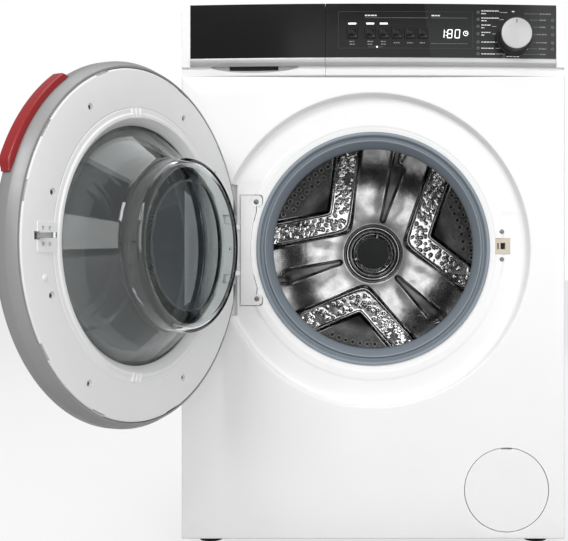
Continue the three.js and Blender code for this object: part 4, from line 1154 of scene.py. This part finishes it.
# ---------- door ----------
# Door sizes are in its own frame: u outwards from the hinge axis, w towards the drum when closed, z up.
door = {
    "middle": 221.0,
    "radius": 238.0,
    "innerRadius": 228.6,
    "front": -22.5,
    "faceW": 10.8,
    "glassHole": 156.8,
    "windowRadius": 171.8,
    "armZ": (-46.0, 46.0),
    "armHalf": 6.0,
    "knuckle": 5.4,
    "bore": 3.3,
    "handle": (18.0, 56.0),
    "screws": ((114.9, 162.8), (-80.2, 179.5), (178.9, 56.2), (180.5, -60.4), (117.1, -166.8),
               (-78.4, -180.9), (-160.5, 110.4), (-201.7, 0.2), (-157.8, -101.6)),
    "clips": (34, 66, 110, 141, 218, 257, 296, 327, 14),
    "hookU": 204.4,
    "hookZ": 6.5,
}
doorPlace = Matrix.Translation(hinge * mm) @ Matrix.Rotation(doorAngle, 4, "Z")
doorCentre = (door["middle"], 0)


def onDoor(piece):
    return moveMesh(piece, doorPlace)


def doorPlaceOf(u, w, z, direction):
    point = doorPlace @ Vector((u * mm, w * mm, z * mm))
    return (tuple(c / mm for c in point), tuple(doorPlace.to_3x3() @ Vector(direction)))


def buildOuterFrame():
    front, r = door["front"], door["radius"]
    inner = door["windowRadius"] + 0.3
    fillet = [(r - 10 + 10 * math.cos(a), front + 10 + 10 * math.sin(a))
              for a in (math.radians(-90 + 9 * k) for k in range(11))]
    section = [(inner, front + 1.9), (inner + 0.6, front + 1.3), (inner + 8, front + 0.5), *fillet,
               (r, -3), (r - 0.3, -1), (r - 5.4, 8.4), (r - 6.2, 9.4), (r - 8.2, 9.8),
               (r - 8.8, 9.4), (r - 8.8, 3), (r - 5, -3), (r - 3.5, front + 12), (r - 10, front + 4.5),
               (inner, front + 4.5)]
    ring = turnedPiece("outerRing", section, 240, doorCentre)
    cut = plate("cut", [(-60, -95), (-2, -95), (-2, 95), (-60, 95)], front + 6.5, 20)
    combined(ring, [cut])
    finished(onDoor(ring), "door", "doorGrey", "door_outer_frame", sharp=35)


def latchSquares(low):
    half = 2.1
    return [block("square", door["middle"] + u - half, door["middle"] + u + half, low, 20, z - half,
                  z + half)
            for u in (184.4, 194.9) for z in (-2.7, 15.2)]


def buildInnerFrame():
    face, hole, r = door["faceW"], door["glassHole"], door["innerRadius"]
    section = [(hole, -1.2, 0), (r, -1.2, 0), (r, face, 2.6), (180, face, 0.5), (178.6, face - 0.7, 0.5),
               (177.2, face, 0.5), (172.4, face, 0.6), (170.2, face + 1.5, 1.0), (166.2, face + 1.5, 1.4),
               (160.4, 6.2, 2.0), (hole, 1.5, 0.8)]
    ring = turnedPiece("innerRing", rounded(section, 0.5, 4), 240, doorCentre)
    cuts = [plate("cut", [(-60, -120), (8, -120), (8, 120), (-60, 120)], -10, 20)]
    for z in door["armZ"]:
        cuts.append(block("notch", -1, 43, -10, 20, z - 7, z + 7))
    hookU, hookZ = door["middle"] + door["hookU"], door["hookZ"]
    hookHole = (hookU - 4.6, hookU + 3.6, -10, 20, hookZ - 4.4, hookZ + 4.4)
    cuts.append(block("hookHole", *hookHole))
    for a in door["clips"]:
        arc = arcPoints(door["middle"], 0, r + 4, a - 3.2, a + 3.2, 8)
        arc += arcPoints(door["middle"], 0, r - 2.2, a + 3.2, a - 3.2, 8)
        cuts.append(plate("clip", arc, face - 5.0, 20))
    for u, z in door["screws"]:
        cuts.append(disc("well", 4.6, face - 3.6, 20, (door["middle"] + u, z), 28))
    combined(ring, cuts + latchSquares(face - 4))
    ribs = []
    for a in (78.2, 81.0, 83.8, -78.2, -81.0, -83.8):
        c, s = math.cos(math.radians(a)), math.sin(math.radians(a))
        bar = roundedBox(-6.5, 6.5, -1.1, 1.1, 1.05, 4)
        middle = 171.5
        outline = [(door["middle"] + (middle + p) * c - q * s, (middle + p) * s + q * c) for p, q in bar]
        ribs.append(plate("rib", outline, face - 2, face + 2.3))
    latch = plate("latchPlate", roundedBox(door["middle"] + 172.5, door["middle"] + 203.5, -12, 22.5, 2.0),
                  face - 1, face + 0.9)
    combined(latch, latchSquares(face - 3) + [block("hookHole", *hookHole)])
    dome = turnedPiece("bump", [(0, face + 1.6), (2.2, face + 1.4), (3.8, face + 0.7), (4.4, face - 0.5),
                                (0, face - 0.5)], 28, (door["middle"] + 191.1, -40.5))
    combined(ring, ribs + [latch, dome], "UNION")
    ring.name = "innerRingShell"
    finished(onDoor(ring), "door", "ring_plastic", "door_inner_frame", sharp=30)
    screws("doorScrews", [doorPlaceOf(door["middle"] + u, face - 3.6, z, (0, 1, 0)) + (0.85,)
                          for u, z in door["screws"]], "door")


def buildGlass():
    section = [(0, 72, 0), (84, 76.0, 30), (101, 80.4, 6), (112, 80.8, 7.0), (112, 50, 14),
               (155.8, -1.8, 3),
               (165.8, -1.8, 0.8), (165.8, -6.5, 0.8), (151.3, -6.5, 2), (107.5, 47.5, 10),
               (107.5, 75.6, 4.5),
               (101, 76.0, 5), (86, 71.8, 20), (0, 67.5, 0)]
    bowl = turnedPiece("glassBowl", rounded(section, 1, 7), 200, doorCentre)
    finished(onDoor(bowl), "door", "clear_glass", "door_glass", sharp=50)

    front, r = door["front"] - 2, door["windowRadius"]
    lid = [(0, front), (60, front + 0.43), (110, front + 1.43), (150, front + 2.67), (r - 1.2, front + 3.4),
           (r, front + 4.2), (r, front + 5.9), (150, front + 5.3), (110, front + 4.2), (60, front + 3.3),
           (0, front + 3)]
    window = turnedPiece("outerWindow", lid, 200, doorCentre)
    finished(onDoor(window), "door", "smoked_plastic", "door_outer_window", sharp=50)
    border = turnedPiece("windowBorder", [(157.6, front + 5.55), (r - 0.3, front + 5.95),
                                          (r - 0.3, front + 6.9),
                                          (157.6, front + 6.7)], 200, doorCentre)
    finished(onDoor(border), "door", "darkPlastic", sharp=40)


def buildHandle():
    # A shell that hugs the ring, with its ends drawn in to curved tips.
    start, end = door["handle"]
    inside, outside = door["radius"] + 0.3, door["radius"] + 8
    w0, w1 = door["front"] + 2, -4.0
    rings = []
    count = 44
    for k in range(count + 1):
        t = k / count
        a = start + 0.4 + (end - start - 0.8) * t
        grow = min(smoothStep(0, 0.07, t), smoothStep(0, 0.04, 1 - t))
        height = 1.2 + (outside - inside - 1.2) * grow
        hook = 1.6 * (1 - smoothStep(0, 0.05, t))
        low, high = w0 + 3.5 * (1 - grow), w1 - 1.5 * (1 - grow)
        outline = rounded([(inside, low, 0), (inside + height + hook, low, 2.6),
                           (inside + height + hook, high, 2.2),
                           (inside, high, 0)], 2, 5)
        c, s = math.cos(math.radians(a)), math.sin(math.radians(a))
        rings.append([(door["middle"] + r * c, w, r * s) for r, w in outline])
    finished(onDoor(lofted("redHandle", rings)), "door", "red_plastic", "door_handle", sharp=45)


def buildHingeArms():
    # The straps screwed inside the ring and the two knuckles that take the pin.
    face = door["faceW"] - 2
    strap = block("hingeArms", 12, 30, -6, -1.8, -52, 52)
    shapes = []
    for z in door["armZ"]:
        z0, z1 = z - door["armHalf"], z + door["armHalf"]
        shapes.append(block("arm", 0, 30, -5, 5, z0, z1))
        shapes.append(plate("web", [(12, -6), (30, -6), (30, face), (18, face), (12, face - 4)], z0, z1,
                            "Z"))
        shapes.append(rod("knuckle", 0, 0, door["knuckle"], z0, z1, 352.5, 47))
    combined(strap, shapes, "UNION")
    combined(strap, [rod("bore", 0, 0, door["bore"], -80, 80, 350, 35)])
    finished(onDoor(strap), "door", "white_plastic", "door_hinge_arms", soften=0.5)


def buildHook():
    u, z = door["middle"] + door["hookU"], door["hookZ"]
    outline = rounded([(u - 1.5, -2), (u + 1.5, -2), (u + 1.5, 33.2), (u + 2.8, 34.2), (u + 2.8, 36.2, 1.2),
                       (u + 1.0, 38, 0.8), (u - 1.5, 38, 0.6)], 0.3, 3)
    hook = plate("latchHook", outline, z - 3, z + 3, "Z")
    pivot = rod("pivot", u, 0, 3.2, z - 3, z + 3, 350, 35)
    combined(hook, [pivot], "UNION")
    hook.name = "latchHookPlate"
    finished(onDoor(hook), "latch_hook", "stainless_steel", "latch_hook", soften=0.25)


bracket = {"left": -213.6, "right": -174.6, "top": 551.0, "bottom": 378.0, "tab": 24.0, "y0": 14.7,
           "y1": 17.7,
           "reach": 193.0, "gap": 1.1, "screws": ((-184, 540.5), (-183, 388.0))}


def buildBracket():
    left, right = bracket["left"], bracket["right"]
    high, low, tab = bracket["top"], bracket["bottom"], bracket["tab"]
    reach, gap = bracket["reach"], bracket["gap"]
    z1, z0 = high - tab, low + tab
    a1 = math.degrees(math.asin((z1 - machine["drumZ"] - 4) / reach))
    a0 = math.degrees(math.asin((z0 - machine["drumZ"] + 4) / reach))
    arc = arcPoints(0, machine["drumZ"], reach, 180 - a1, 180 - a0, 20)
    outline = rounded([(left, low, 1.5), (right, low, 6), (right, z0 - 2, 7)], 1, 5) + arc[::-1]
    outline += rounded([(right, z1 + 2, 7), (right, high, 6), (left, high, 1.5)], 1, 5)
    plateBody = plate("hingePlate", outline, bracket["y0"], bracket["y1"])
    shapes = []
    for z in door["armZ"]:
        inner = z - math.copysign(6.3, z)
        outer = inner - math.copysign(7.4, z)
        a, b = sorted((machine["recessZ"] + inner, machine["recessZ"] + outer))
        x, y = hinge.x, hinge.y
        shapes.append(rod("knuckle", x, y, door["knuckle"], a, b, 352.5, 47))
        shapes.append(plate("lug", [(x - 5, y), (x + 5, y), (x + 5, 9), (left + 4, 14.7), (left + 4, 17.7),
                                    (x - 5, 17.7)], a, b, "Z"))
    combined(plateBody, shapes, "UNION")
    # The plate sits in a cut-out of the panel, with a narrow gap all round.
    middle = (left + right) / 2 - 0.9
    pocket = plate("pocket", [(x + math.copysign(gap, x - middle) * (1 if abs(x - middle) > 6 else 0.3),
                               z + math.copysign(gap, z - machine["drumZ"])) for x, z in outline], 9, 26)
    combined(bpy.data.objects["frontPanelSkin"], [pocket])
    bore = rod("bore", hinge.x, hinge.y, door["bore"], 300, 600, 350, 35)
    seats = [disc("seat", 6.6, 10, bracket["y0"] + 0.7, place, 40) for place in bracket["screws"]]
    seats += [tube("tab", 10.4, 9.5, 10, bracket["y0"] + 1.3, place) for place in bracket["screws"]]
    combined(plateBody, [bore] + seats)
    plateBody.name = "hingeBracketPlate"
    finished(plateBody, "cabinet", "white_plastic", "hinge_bracket", soften=0.45)
    screws("bracketScrews", [((x, bracket["y0"] + 0.7, z), (0, -1, 0), 1.1) for x, z in bracket["screws"]],
           "cabinet")


def buildLock():
    x0, x1, z0, z1 = panel["lock"]
    x, z = (x0 + x1) / 2, (z0 + z1) / 2
    body = plate("lockBody", roundedBox(x0, x1, z0, z1, 1.2, 3), 17.0, 32.5)
    cuts = [block("slot", x - 3.7, x + 3.7, 10, 30.5, z - 5, z + 5),
            block("bolt", x - 8.6, x - 6.6, 10, 27.5, z - 5, z + 5)]
    combined(body, cuts)
    finished(body, "cabinet", "beige_plastic", "door_lock", soften=0.6)
    # Dark blocks in the lock's slot and its bolt hole: painted shade.
    slotShade = block("lockInside", x - 3.6, x + 3.6, 28.6, 30.4, z - 4.9, z + 4.9)
    boltShade = block("boltInside", x - 8.5, x - 6.7, 20, 27.4, z - 4.9, z + 4.9)
    finished(gathered("lockLiner", [slotShade, boltShade]), "cabinet", "darkPlastic")
    screws("lockScrews", [((x, 16.2, z), (0, -1, 0), 0.95) for x, z in ((202.5, 493.8), (202.5, 450.3))],
           "cabinet")


def buildFlap():
    x, z = panel["flapCentre"]
    lid = disc("filterFlapLid", 65.0, 0.2, 3.2, (x, z), 160)
    slot = plate("slot", roundedBox(x - 8.2, x + 8.2, z + 63.0, z + 70, 0.6, 3), -2, 5)
    combined(lid, [slot])
    finished(lid, "filter_flap", "white_plastic", "filter_flap", soften=0.5)
    grip = plate("filterGrip", roundedBox(x - 24, x + 24, z - 4, z + 4, 3, 5),
                 6, 13)
    plug = disc("plug", 30, 12, 26, (x, z), 96, 1.2)
    core = disc("core", 24, 25, 96, (x, z), 64)
    combined(plug, [grip, core], "UNION")
    plug.name = "filterPlug"
    finished(plug, "pump_filter", "white_plastic", "pump_filter", soften=0.5)


buildOuterFrame()
buildInnerFrame()
buildGlass()
buildHandle()
buildHingeArms()
buildHook()
buildBracket()
buildLock()
buildFlap()
print("door built")


# ---------- seal, drum and suspension ----------
drum = {
    "radius": 241.0,
    "front": 86.0,
    "mouth": 168.0,
    "wallY": 428.0,             # the back wall's deepest face
    "bands": (17, 137, 257),    # the pressed V-shaped bands, by the direction that they open to
    "bandSpread": 54.0,
    "bandStart": 92.0,
    "bandHalf": 25.0,
    "bandTips": (10.0, 3.0),     # rounding of a band's bend, towards the hub and away from it
    "bandLift": 9.0,
    "flutes": (74, 195, 315),
    "fluteReach": (66.0, 190.0),
    "fluteHalf": (4.0, 15.0),
    "wallHoleRadius": 3.9,
    "shellHoleRadius": 1.8,
    "holeRows": (184.0, 199.0),
    "holePitch": 15.0,
    "lifters": (77, 197, 317),
}
seal = {
    "profile": ((184, 17.7), (184, 15.6), (183.2, 14.8), (181, 14.5), (179, 14.8), (178, 15.8),
                (177.2, 18.5),
                (175.5, 20.5), (173.5, 21), (172.2, 20), (171.6, 17.5), (170.6, 16.4), (169.4, 16.6),
                (168.6, 18), (166, 22), (163, 27), (160.5, 31), (159.2, 33.2), (158.8, 34.2), (159.4, 35.4),
                (161.2, 35.2), (166, 34.6), (171, 36), (177.5, 43.5), (179, 47), (177.5, 50.5), (172, 54.5),
                (170.5, 57.5), (170.4, 70), (173.2, 70), (173.3, 58.5), (175.5, 56), (181.5, 51.5),
                (183, 47),
                (181.5, 43), (178, 38.8), (176.4, 34.7), (176.4, 22), (177.5, 19.5), (179.2, 17.7)),
}
# Painted shade and painted highlight of the seal's rings, from 158 mm to 185 mm out.
sealShading = ((0.0, "#565D64"), (0.06, "#6B737B"), (0.14, "#7C858F"), (0.36, "#828B95"),
             (0.46, "#8F989F"), (0.52, "#6E767F"), (0.60, "#7B848D"), (0.78, "#7E8790"),
             (0.86, "#8E979F"), (1.0, "#7A838C"))
drumCentre = (0, machine["drumZ"])


def sealRubberFinish():
    # Rubber of the seal: its rings take the light differently, so the tint follows the radius as painted
    # shade and painted highlight.
    finish, tree, bsdf, place = newFinish("sealRubber", {"Roughness": 0.5, "Sheen Weight": 0.05})
    part = addNode(tree, "ShaderNodeSeparateXYZ", {0: place}).outputs
    rise = reckoned(tree, "SUBTRACT", part["Z"], machine["drumZ"] * mm)
    flat = addNode(tree, "ShaderNodeCombineXYZ", {"X": part["X"], "Y": rise})
    reach = addNode(tree, "ShaderNodeVectorMath", {0: flat.outputs[0]}, operation="LENGTH")
    span = mapped(tree, reach.outputs["Value"], (0, 1), (0.158, 0.185))
    bands = addNode(tree, "ShaderNodeValToRGB", {"Fac": span})
    ramp = bands.color_ramp
    while len(ramp.elements) < len(sealShading):
        ramp.elements.new(0.5)
    for element, (at, shade) in zip(ramp.elements, sealShading):
        element.position, element.color = at, linear(shade)
    bloom = mixed(tree, speckle(tree, place, 9, 3.0), bands.outputs[0], "#7E878F")
    feed(tree, bsdf, {"Base Color": mixed(tree, 0.25, bands.outputs[0], bloom),
                      "Normal": bumped(tree, speckle(tree, place, 0.8), 0.3, 0.04)})
    return finish


def bending(piece, start, end, finish, stands, sharp):
    # A part that follows the cabinet at one end and the tub at the other.
    dressed(piece, finish, sharp)
    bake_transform(piece, "cabinet", "tub", tuple(c * mm for c in start), tuple(c * mm for c in end))
    labelled(stands)


def buildSeal():
    finishes["sealRubber"] = sealRubberFinish()
    ring = turnedPiece("doorSeal", rounded([p + (0.8,) for p in seal["profile"]], 0.8, 2), 200, drumCentre)
    z = machine["drumZ"]
    bending(ring, (0, 20, z), (0, 58, z), "sealRubber", "door_gasket", 60)


def onBand(x, z):
    # How far a point is inside the two edges of the nearest V-shaped band, and how far along an arm it is.
    best = (-1e9, -1e9, 0)
    spread = math.radians(drum["bandSpread"])
    c, s, half = math.cos(spread), math.sin(spread), drum["bandHalf"]
    for axis in drum["bands"]:
        a = math.radians(axis)
        u = x * math.cos(a) + z * math.sin(a) - drum["bandStart"]
        v = abs(-x * math.sin(a) + z * math.cos(a))
        hubward, outward = (math.hypot(v, bend) for bend in drum["bandTips"])
        near, far = half - (-u * s + hubward * c), half + (-u * s + outward * c)
        if near > best[0]:
            best = (near, far, u * c + v * s)
    return best


def onFlute(x, z):
    # 1 in the middle of a flute and 0 outside it.
    low, high = drum["fluteReach"]
    for axis in drum["flutes"]:
        a = math.radians(axis)
        u = x * math.cos(a) + z * math.sin(a)
        v = abs(-x * math.sin(a) + z * math.cos(a))
        if u < low - 10:
            continue
        t = min(max((u - low) / (high - low), 0), 1)
        half = drum["fluteHalf"][0] + (drum["fluteHalf"][1] - drum["fluteHalf"][0]) * t
        over = max(low + half - u, u - (high - half), 0)
        away = math.hypot(v, over)
        if away < half + 3:
            return 1 - smoothStep(half - 3.5, half + 2.5, away)
    return 0.0


def wallShape(x, z):
    # How far the back wall comes forward at a point, and how rough and dark it is painted there: painted
    # reflection and painted shade.
    r = math.hypot(x, z)
    if r < 62:
        steps = ((0, 17.0, 1.0), (31.0, 16.4, 1.0), (32.6, 15.6, 0.0), (38, 14.4, 0.0), (43, 11.6, 0.0),
                 (46, 4.0, 0.05),
                 (47.2, 0.5, 0.85), (49.0, 1.0, 0.8), (50.5, 4.4, 0.05), (53.0, 4.6, 0.1),
                 (54.6, 0.8, 0.85),
                 (57.5, 0.8, 0.85), (59, 2.6, 0.2), (62, 3.0, 0.6))
        for (r0, h0, t0), (r1, h1, t1) in zip(steps, steps[1:]):
            if r <= r1:
                k = smoothStep(r0, r1, r)
                return h0 + (h1 - h0) * k, t0 + (t1 - t0) * k
    near, far, along = onBand(x, z)
    rim = 1 - smoothStep(226, 236, r)
    within = smoothStep(4, -3, far) if near > 0 else 0.0
    # Towards the hub the wall is polished and domed; inside each V it is a flat panel, rougher and painted
    # darker: painted reflection and painted shade.
    across = min(abs(math.remainder(math.degrees(math.atan2(z, x)) - axis, 360)) for axis in drum["flutes"])
    dome = 3.0 + 7.0 * math.sin(math.pi * min(max((r - 62) / 160, 0),
                                              1)) * (1 - (min(across, 45) / 50) ** 2)
    dome += 1.2 * math.cos(across / 5.5) * smoothStep(66, 100, r)
    dome *= 1 - within
    height = dome
    panelPaintedDark = 0.98 - 0.5 * smoothStep(140, 175, r)
    # The domes are painted grey, darker towards the hub: painted reflection.
    tone = (0.36 + 0.4 * smoothStep(86, 64, r)) * (1 - within) + panelPaintedDark * within
    flute = onFlute(x, z)
    height -= 5.5 * flute
    # The flutes are painted dark: a painted reflection of the lifters.
    tone = max(tone, 0.8 * flute)
    body = smoothStep(-3.5, 3, near) * smoothStep(-3.5, 3, far)
    if body > 0.02:
        start = smoothStep(58, 68, r)
        edge = min(near, far)
        ridge = math.exp(-((edge - 4.2) / 2.0) ** 2)
        height = height * (1 - body * start) + (drum["bandLift"] * body + 2.6 * ridge) * start
        tone = tone * (1 - body) + 0.05 * body
        drop = noise.voronoi(Vector((x / 8.5, z / 8.5, 0.4 * math.sin(along / 17))))[0][0]
        height += 2.0 * body * smoothStep(0.55, 0.12, drop) * smoothStep(8, 12.5, edge) * start
    if r > 208:
        height *= rim
        tone = tone * rim + 0.3 * (1 - rim)
    return height, tone


def buildWall():
    # A grid of rings, close together so that the pressings come out sharp.
    outer = drum["radius"] - 1.2
    radii = [0.0] + [1.6 * k for k in range(1, 41)] + [64 + 1.45 * k for k in range(1, 104)]
    radii = [r for r in radii if r < outer - 1] + [outer]
    around = 600
    vertices, reflectionShades, faces = [], [], []
    height, tone = wallShape(0, 0)
    vertices.append((0, drum["wallY"] - height, machine["drumZ"]))
    reflectionShades.append(tone)
    for r in radii[1:]:
        for k in range(around):
            a = math.tau * k / around
            x, z = r * math.cos(a), r * math.sin(a)
            height, tone = wallShape(x, z)
            vertices.append((x, drum["wallY"] - height, z + machine["drumZ"]))
            reflectionShades.append(tone)
    for k in range(around):
        faces.append((0, 1 + k, 1 + (k + 1) % around))
    for ring in range(len(radii) - 2):
        a0, b0 = 1 + ring * around, 1 + (ring + 1) * around
        for k in range(around):
            n = (k + 1) % around
            faces.append((a0 + k, b0 + k, b0 + n, a0 + n))
    wall = newPiece("drumBackWall", vertices, faces)
    attribute = wall.data.attributes.new("tone", "FLOAT", "POINT")
    attribute.data.foreach_set("value", reflectionShades)
    finished(wall, "drum", "drumSteel", sharp=75)
    print("drum wall built,", len(faces), "faces")


def dished(name, rings, reflectionShades):
    # A small round shape from rings of (radius, height), closed in the middle when the last radius is 0.
    steps = 12
    closed = rings[-1][0] == 0
    loops = rings[:-1] if closed else rings
    vertices = [(r * math.cos(math.tau * k / steps), r * math.sin(math.tau * k / steps), h)
                for r, h in loops for k in range(steps)]
    faces = [(i * steps + k, i * steps + (k + 1) % steps, (i + 1) * steps + (k + 1) % steps,
              (i + 1) * steps + k)
             for i in range(len(loops) - 1) for k in range(steps)]
    values = [t for t, ring in zip(reflectionShades, loops) for k in range(steps)]
    if closed:
        vertices.append((0, 0, rings[-1][1]))
        values.append(reflectionShades[-1])
        last = (len(loops) - 1) * steps
        faces += [(last + k, last + (k + 1) % steps, len(vertices) - 1) for k in range(steps)]
    piece = newPiece(name, vertices, faces)
    piece.data.attributes.new("tone", "FLOAT", "POINT").data.foreach_set("value", values)
    return piece


def buildHoles():
    # Rows of perforations in the flat panels of the wall and all over the shell.
    places = []
    for axis in drum["bands"]:
        for row, radius in enumerate(drum["holeRows"]):
            step = math.degrees(drum["holePitch"] / radius)
            for k in range(-9, 10):
                a = math.radians(axis + (k + 0.5 * (row % 2)) * step)
                x, z = radius * math.cos(a), radius * math.sin(a)
                near, far, along = onBand(x, z)
                if near < 0 or far > -7:
                    continue
                places.append(((x, drum["wallY"] - 0.05, z + machine["drumZ"]), (0, -1, 0), 1.0))
    # A bright rim round each hole of the wall: painted highlight.
    rim = dished("rim", [(1.3, 0), (1.16, 0.4), (1.0, 0.42), (0.86, 0)], (0, 0, 0, 0))
    # A dark disc in each hole of the wall: painted shade.
    throat = dished("throat", [(0.95, 0.12), (0, 0.1)], (1, 1))
    size = drum["wallHoleRadius"]
    finished(repeated("wallHoleRims", rim, places, "rolledRim", size), "drum",
             "rolledRim", sharp=80)
    finished(repeated("wallHoles", throat, places, "darkPlastic", size), "drum",
             "darkPlastic", sharp=80)
    places = []
    r = drum["radius"] - 1.35
    for ring in range(15):
        y = 112 + 21.5 * ring
        for k in range(54):
            a = math.tau * (k + 0.5 * (ring % 2)) / 54
            near = min(abs((math.degrees(a) - axis + 180) % 360 - 180) for axis in drum["lifters"])
            if near < 9.5:
                continue
            places.append(((r * math.cos(a), y, machine["drumZ"] + r * math.sin(a)),
                           (-math.cos(a), 0, -math.sin(a)), 1.0))
    # Each hole of the shell is painted dark in its middle: painted shade.
    hole = dished("hole", [(1.3, 0), (1.1, 0.3), (0.9, 0.25), (0.8, -0.1), (0, -0.12)], (0.2, 0, 0.2, 1, 1))
    shellHoles = repeated("shellHoles", hole, places, "drumSteel", drum["shellHoleRadius"])
    finished(shellHoles, "drum", "drumSteel", sharp=80)
    print("perforations:", len(places))


def buildShell():
    r, y0, y1 = drum["radius"], drum["front"], 430.0
    section = [(drum["mouth"], y0 + 1), (drum["mouth"] + 1, y0), (226, y0), (233, y0 + 1.6), (238, y0 + 5),
               (240.2, y0 + 10), (r, y0 + 16)]
    section += [(r, y0 + 40), (r - 0.6, y0 + 42), (r, y0 + 44), (r, y1 - 22), (r - 0.7, y1 - 20),
                (r, y1 - 18),
                (r, y1), (r - 14, y1), (r - 14, y1 - 1), (r - 1.1, y1 - 1.2)]
    section += [(r - 1.1, y0 + 17), (239, y0 + 11), (237, y0 + 6.2), (232.4, y0 + 2.9), (226, y0 + 1.3),
                (171, y0 + 1.3), (170, y0 + 3.4), (168.8, y0 + 3.4)]
    shell = turnedPiece("drumShell", section, 200, drumCentre)
    finished(shell, "drum", "drumSteel", "drum_basket", sharp=40)
    for i, axis in enumerate(drum["lifters"]):
        foot, tip = 239.0, 181.0
        rings = []
        for k in range(31):
            t = k / 30
            y = 108 + 313 * t
            grow = min(smoothStep(0, 0.16, t), smoothStep(0, 0.12, 1 - t))
            peak = foot - (foot - tip) * (0.08 + 0.92 * grow)
            wide = 24 + 10 * grow
            outline = rounded([(foot, -wide, 0), (foot - 6, -wide + 3, 6), (peak, -9, 8), (peak, 9, 8),
                               (foot - 6, wide - 3, 6), (foot, wide, 0)], 6, 4)
            a = math.radians(axis)
            rings.append([(p * math.cos(a) - q * math.sin(a), y,
                           machine["drumZ"] + p * math.sin(a) + q * math.cos(a)) for p, q in outline])
        lifter = lofted("lifterPaddle", rings)
        lifter.name = "lifterPaddle" + str(i + 1)
        finished(lifter, "drum", "drumSteel", "lifter_" + str(i + 1), sharp=55)


spring = {"x": 241.0, "y": 300.0, "low": 595.0, "high": 800.0, "tail": 12.0, "coils": 15,
          "radius": 8.2, "wire": 1.5}


def coilTree():
    # A helix swept by a round wire.
    tree, keys, given = newGroup("coil", dict.fromkeys(("Turns", "Radius", "Height", "Wire"), "Float"))
    helix = addNode(tree, "GeometryNodeCurveSpiral", {
        "Resolution": 20, "Rotations": given["Turns"], "Start Radius": given["Radius"],
        "End Radius": given["Radius"], "Height": given["Height"]})
    ring = addNode(tree, "GeometryNodeCurvePrimitiveCircle", {"Resolution": 8, "Radius": given["Wire"]})
    swept = addNode(tree, "GeometryNodeCurveToMesh", {
        "Curve": helix.outputs[0], "Profile Curve": ring.outputs[0], "Fill Caps": True})
    closeGroup(tree, swept.outputs[0], "stainless_steel")
    return tree, keys


def buildSuspension():
    tree, keys = coilTree()
    y, reach = spring["y"], spring["radius"]
    low, high = spring["low"] + spring["tail"], spring["high"] - spring["tail"]
    half = 1.4    # of the bars that join the coil to its tails
    for label, side in (("left", -1), ("right", 1)):
        x = side * spring["x"]
        name = "hangingSpring" + label.title()
        coil = grown(newPiece(name, [(0, 0, 0)], []), tree, keys, {
            "Turns": float(spring["coils"]), "Radius": reach * mm, "Height": (high - low) * mm,
            "Wire": spring["wire"] * mm})
        moveMesh(coil, Matrix.Translation((x * mm, y * mm, low * mm)))
        parts = [coil]
        for z0, z1, joint in ((spring["low"], low + 1, low + 1), (high - 1, spring["high"], high - 1)):
            parts.append(rod("tail", x, y, 1.6, z0, z1, 330, 11))
            parts.append(block("bar", x - half, x + reach, y - half, y + half, joint - half, joint + half))
        bending(gathered(name, parts), (x, y, spring["high"]), (x, y, spring["low"]), "stainless_steel",
                "spring_" + label, 50)
    print("suspension built")


buildSeal()
buildWall()
buildHoles()
buildShell()
buildSuspension()
print("drum built")
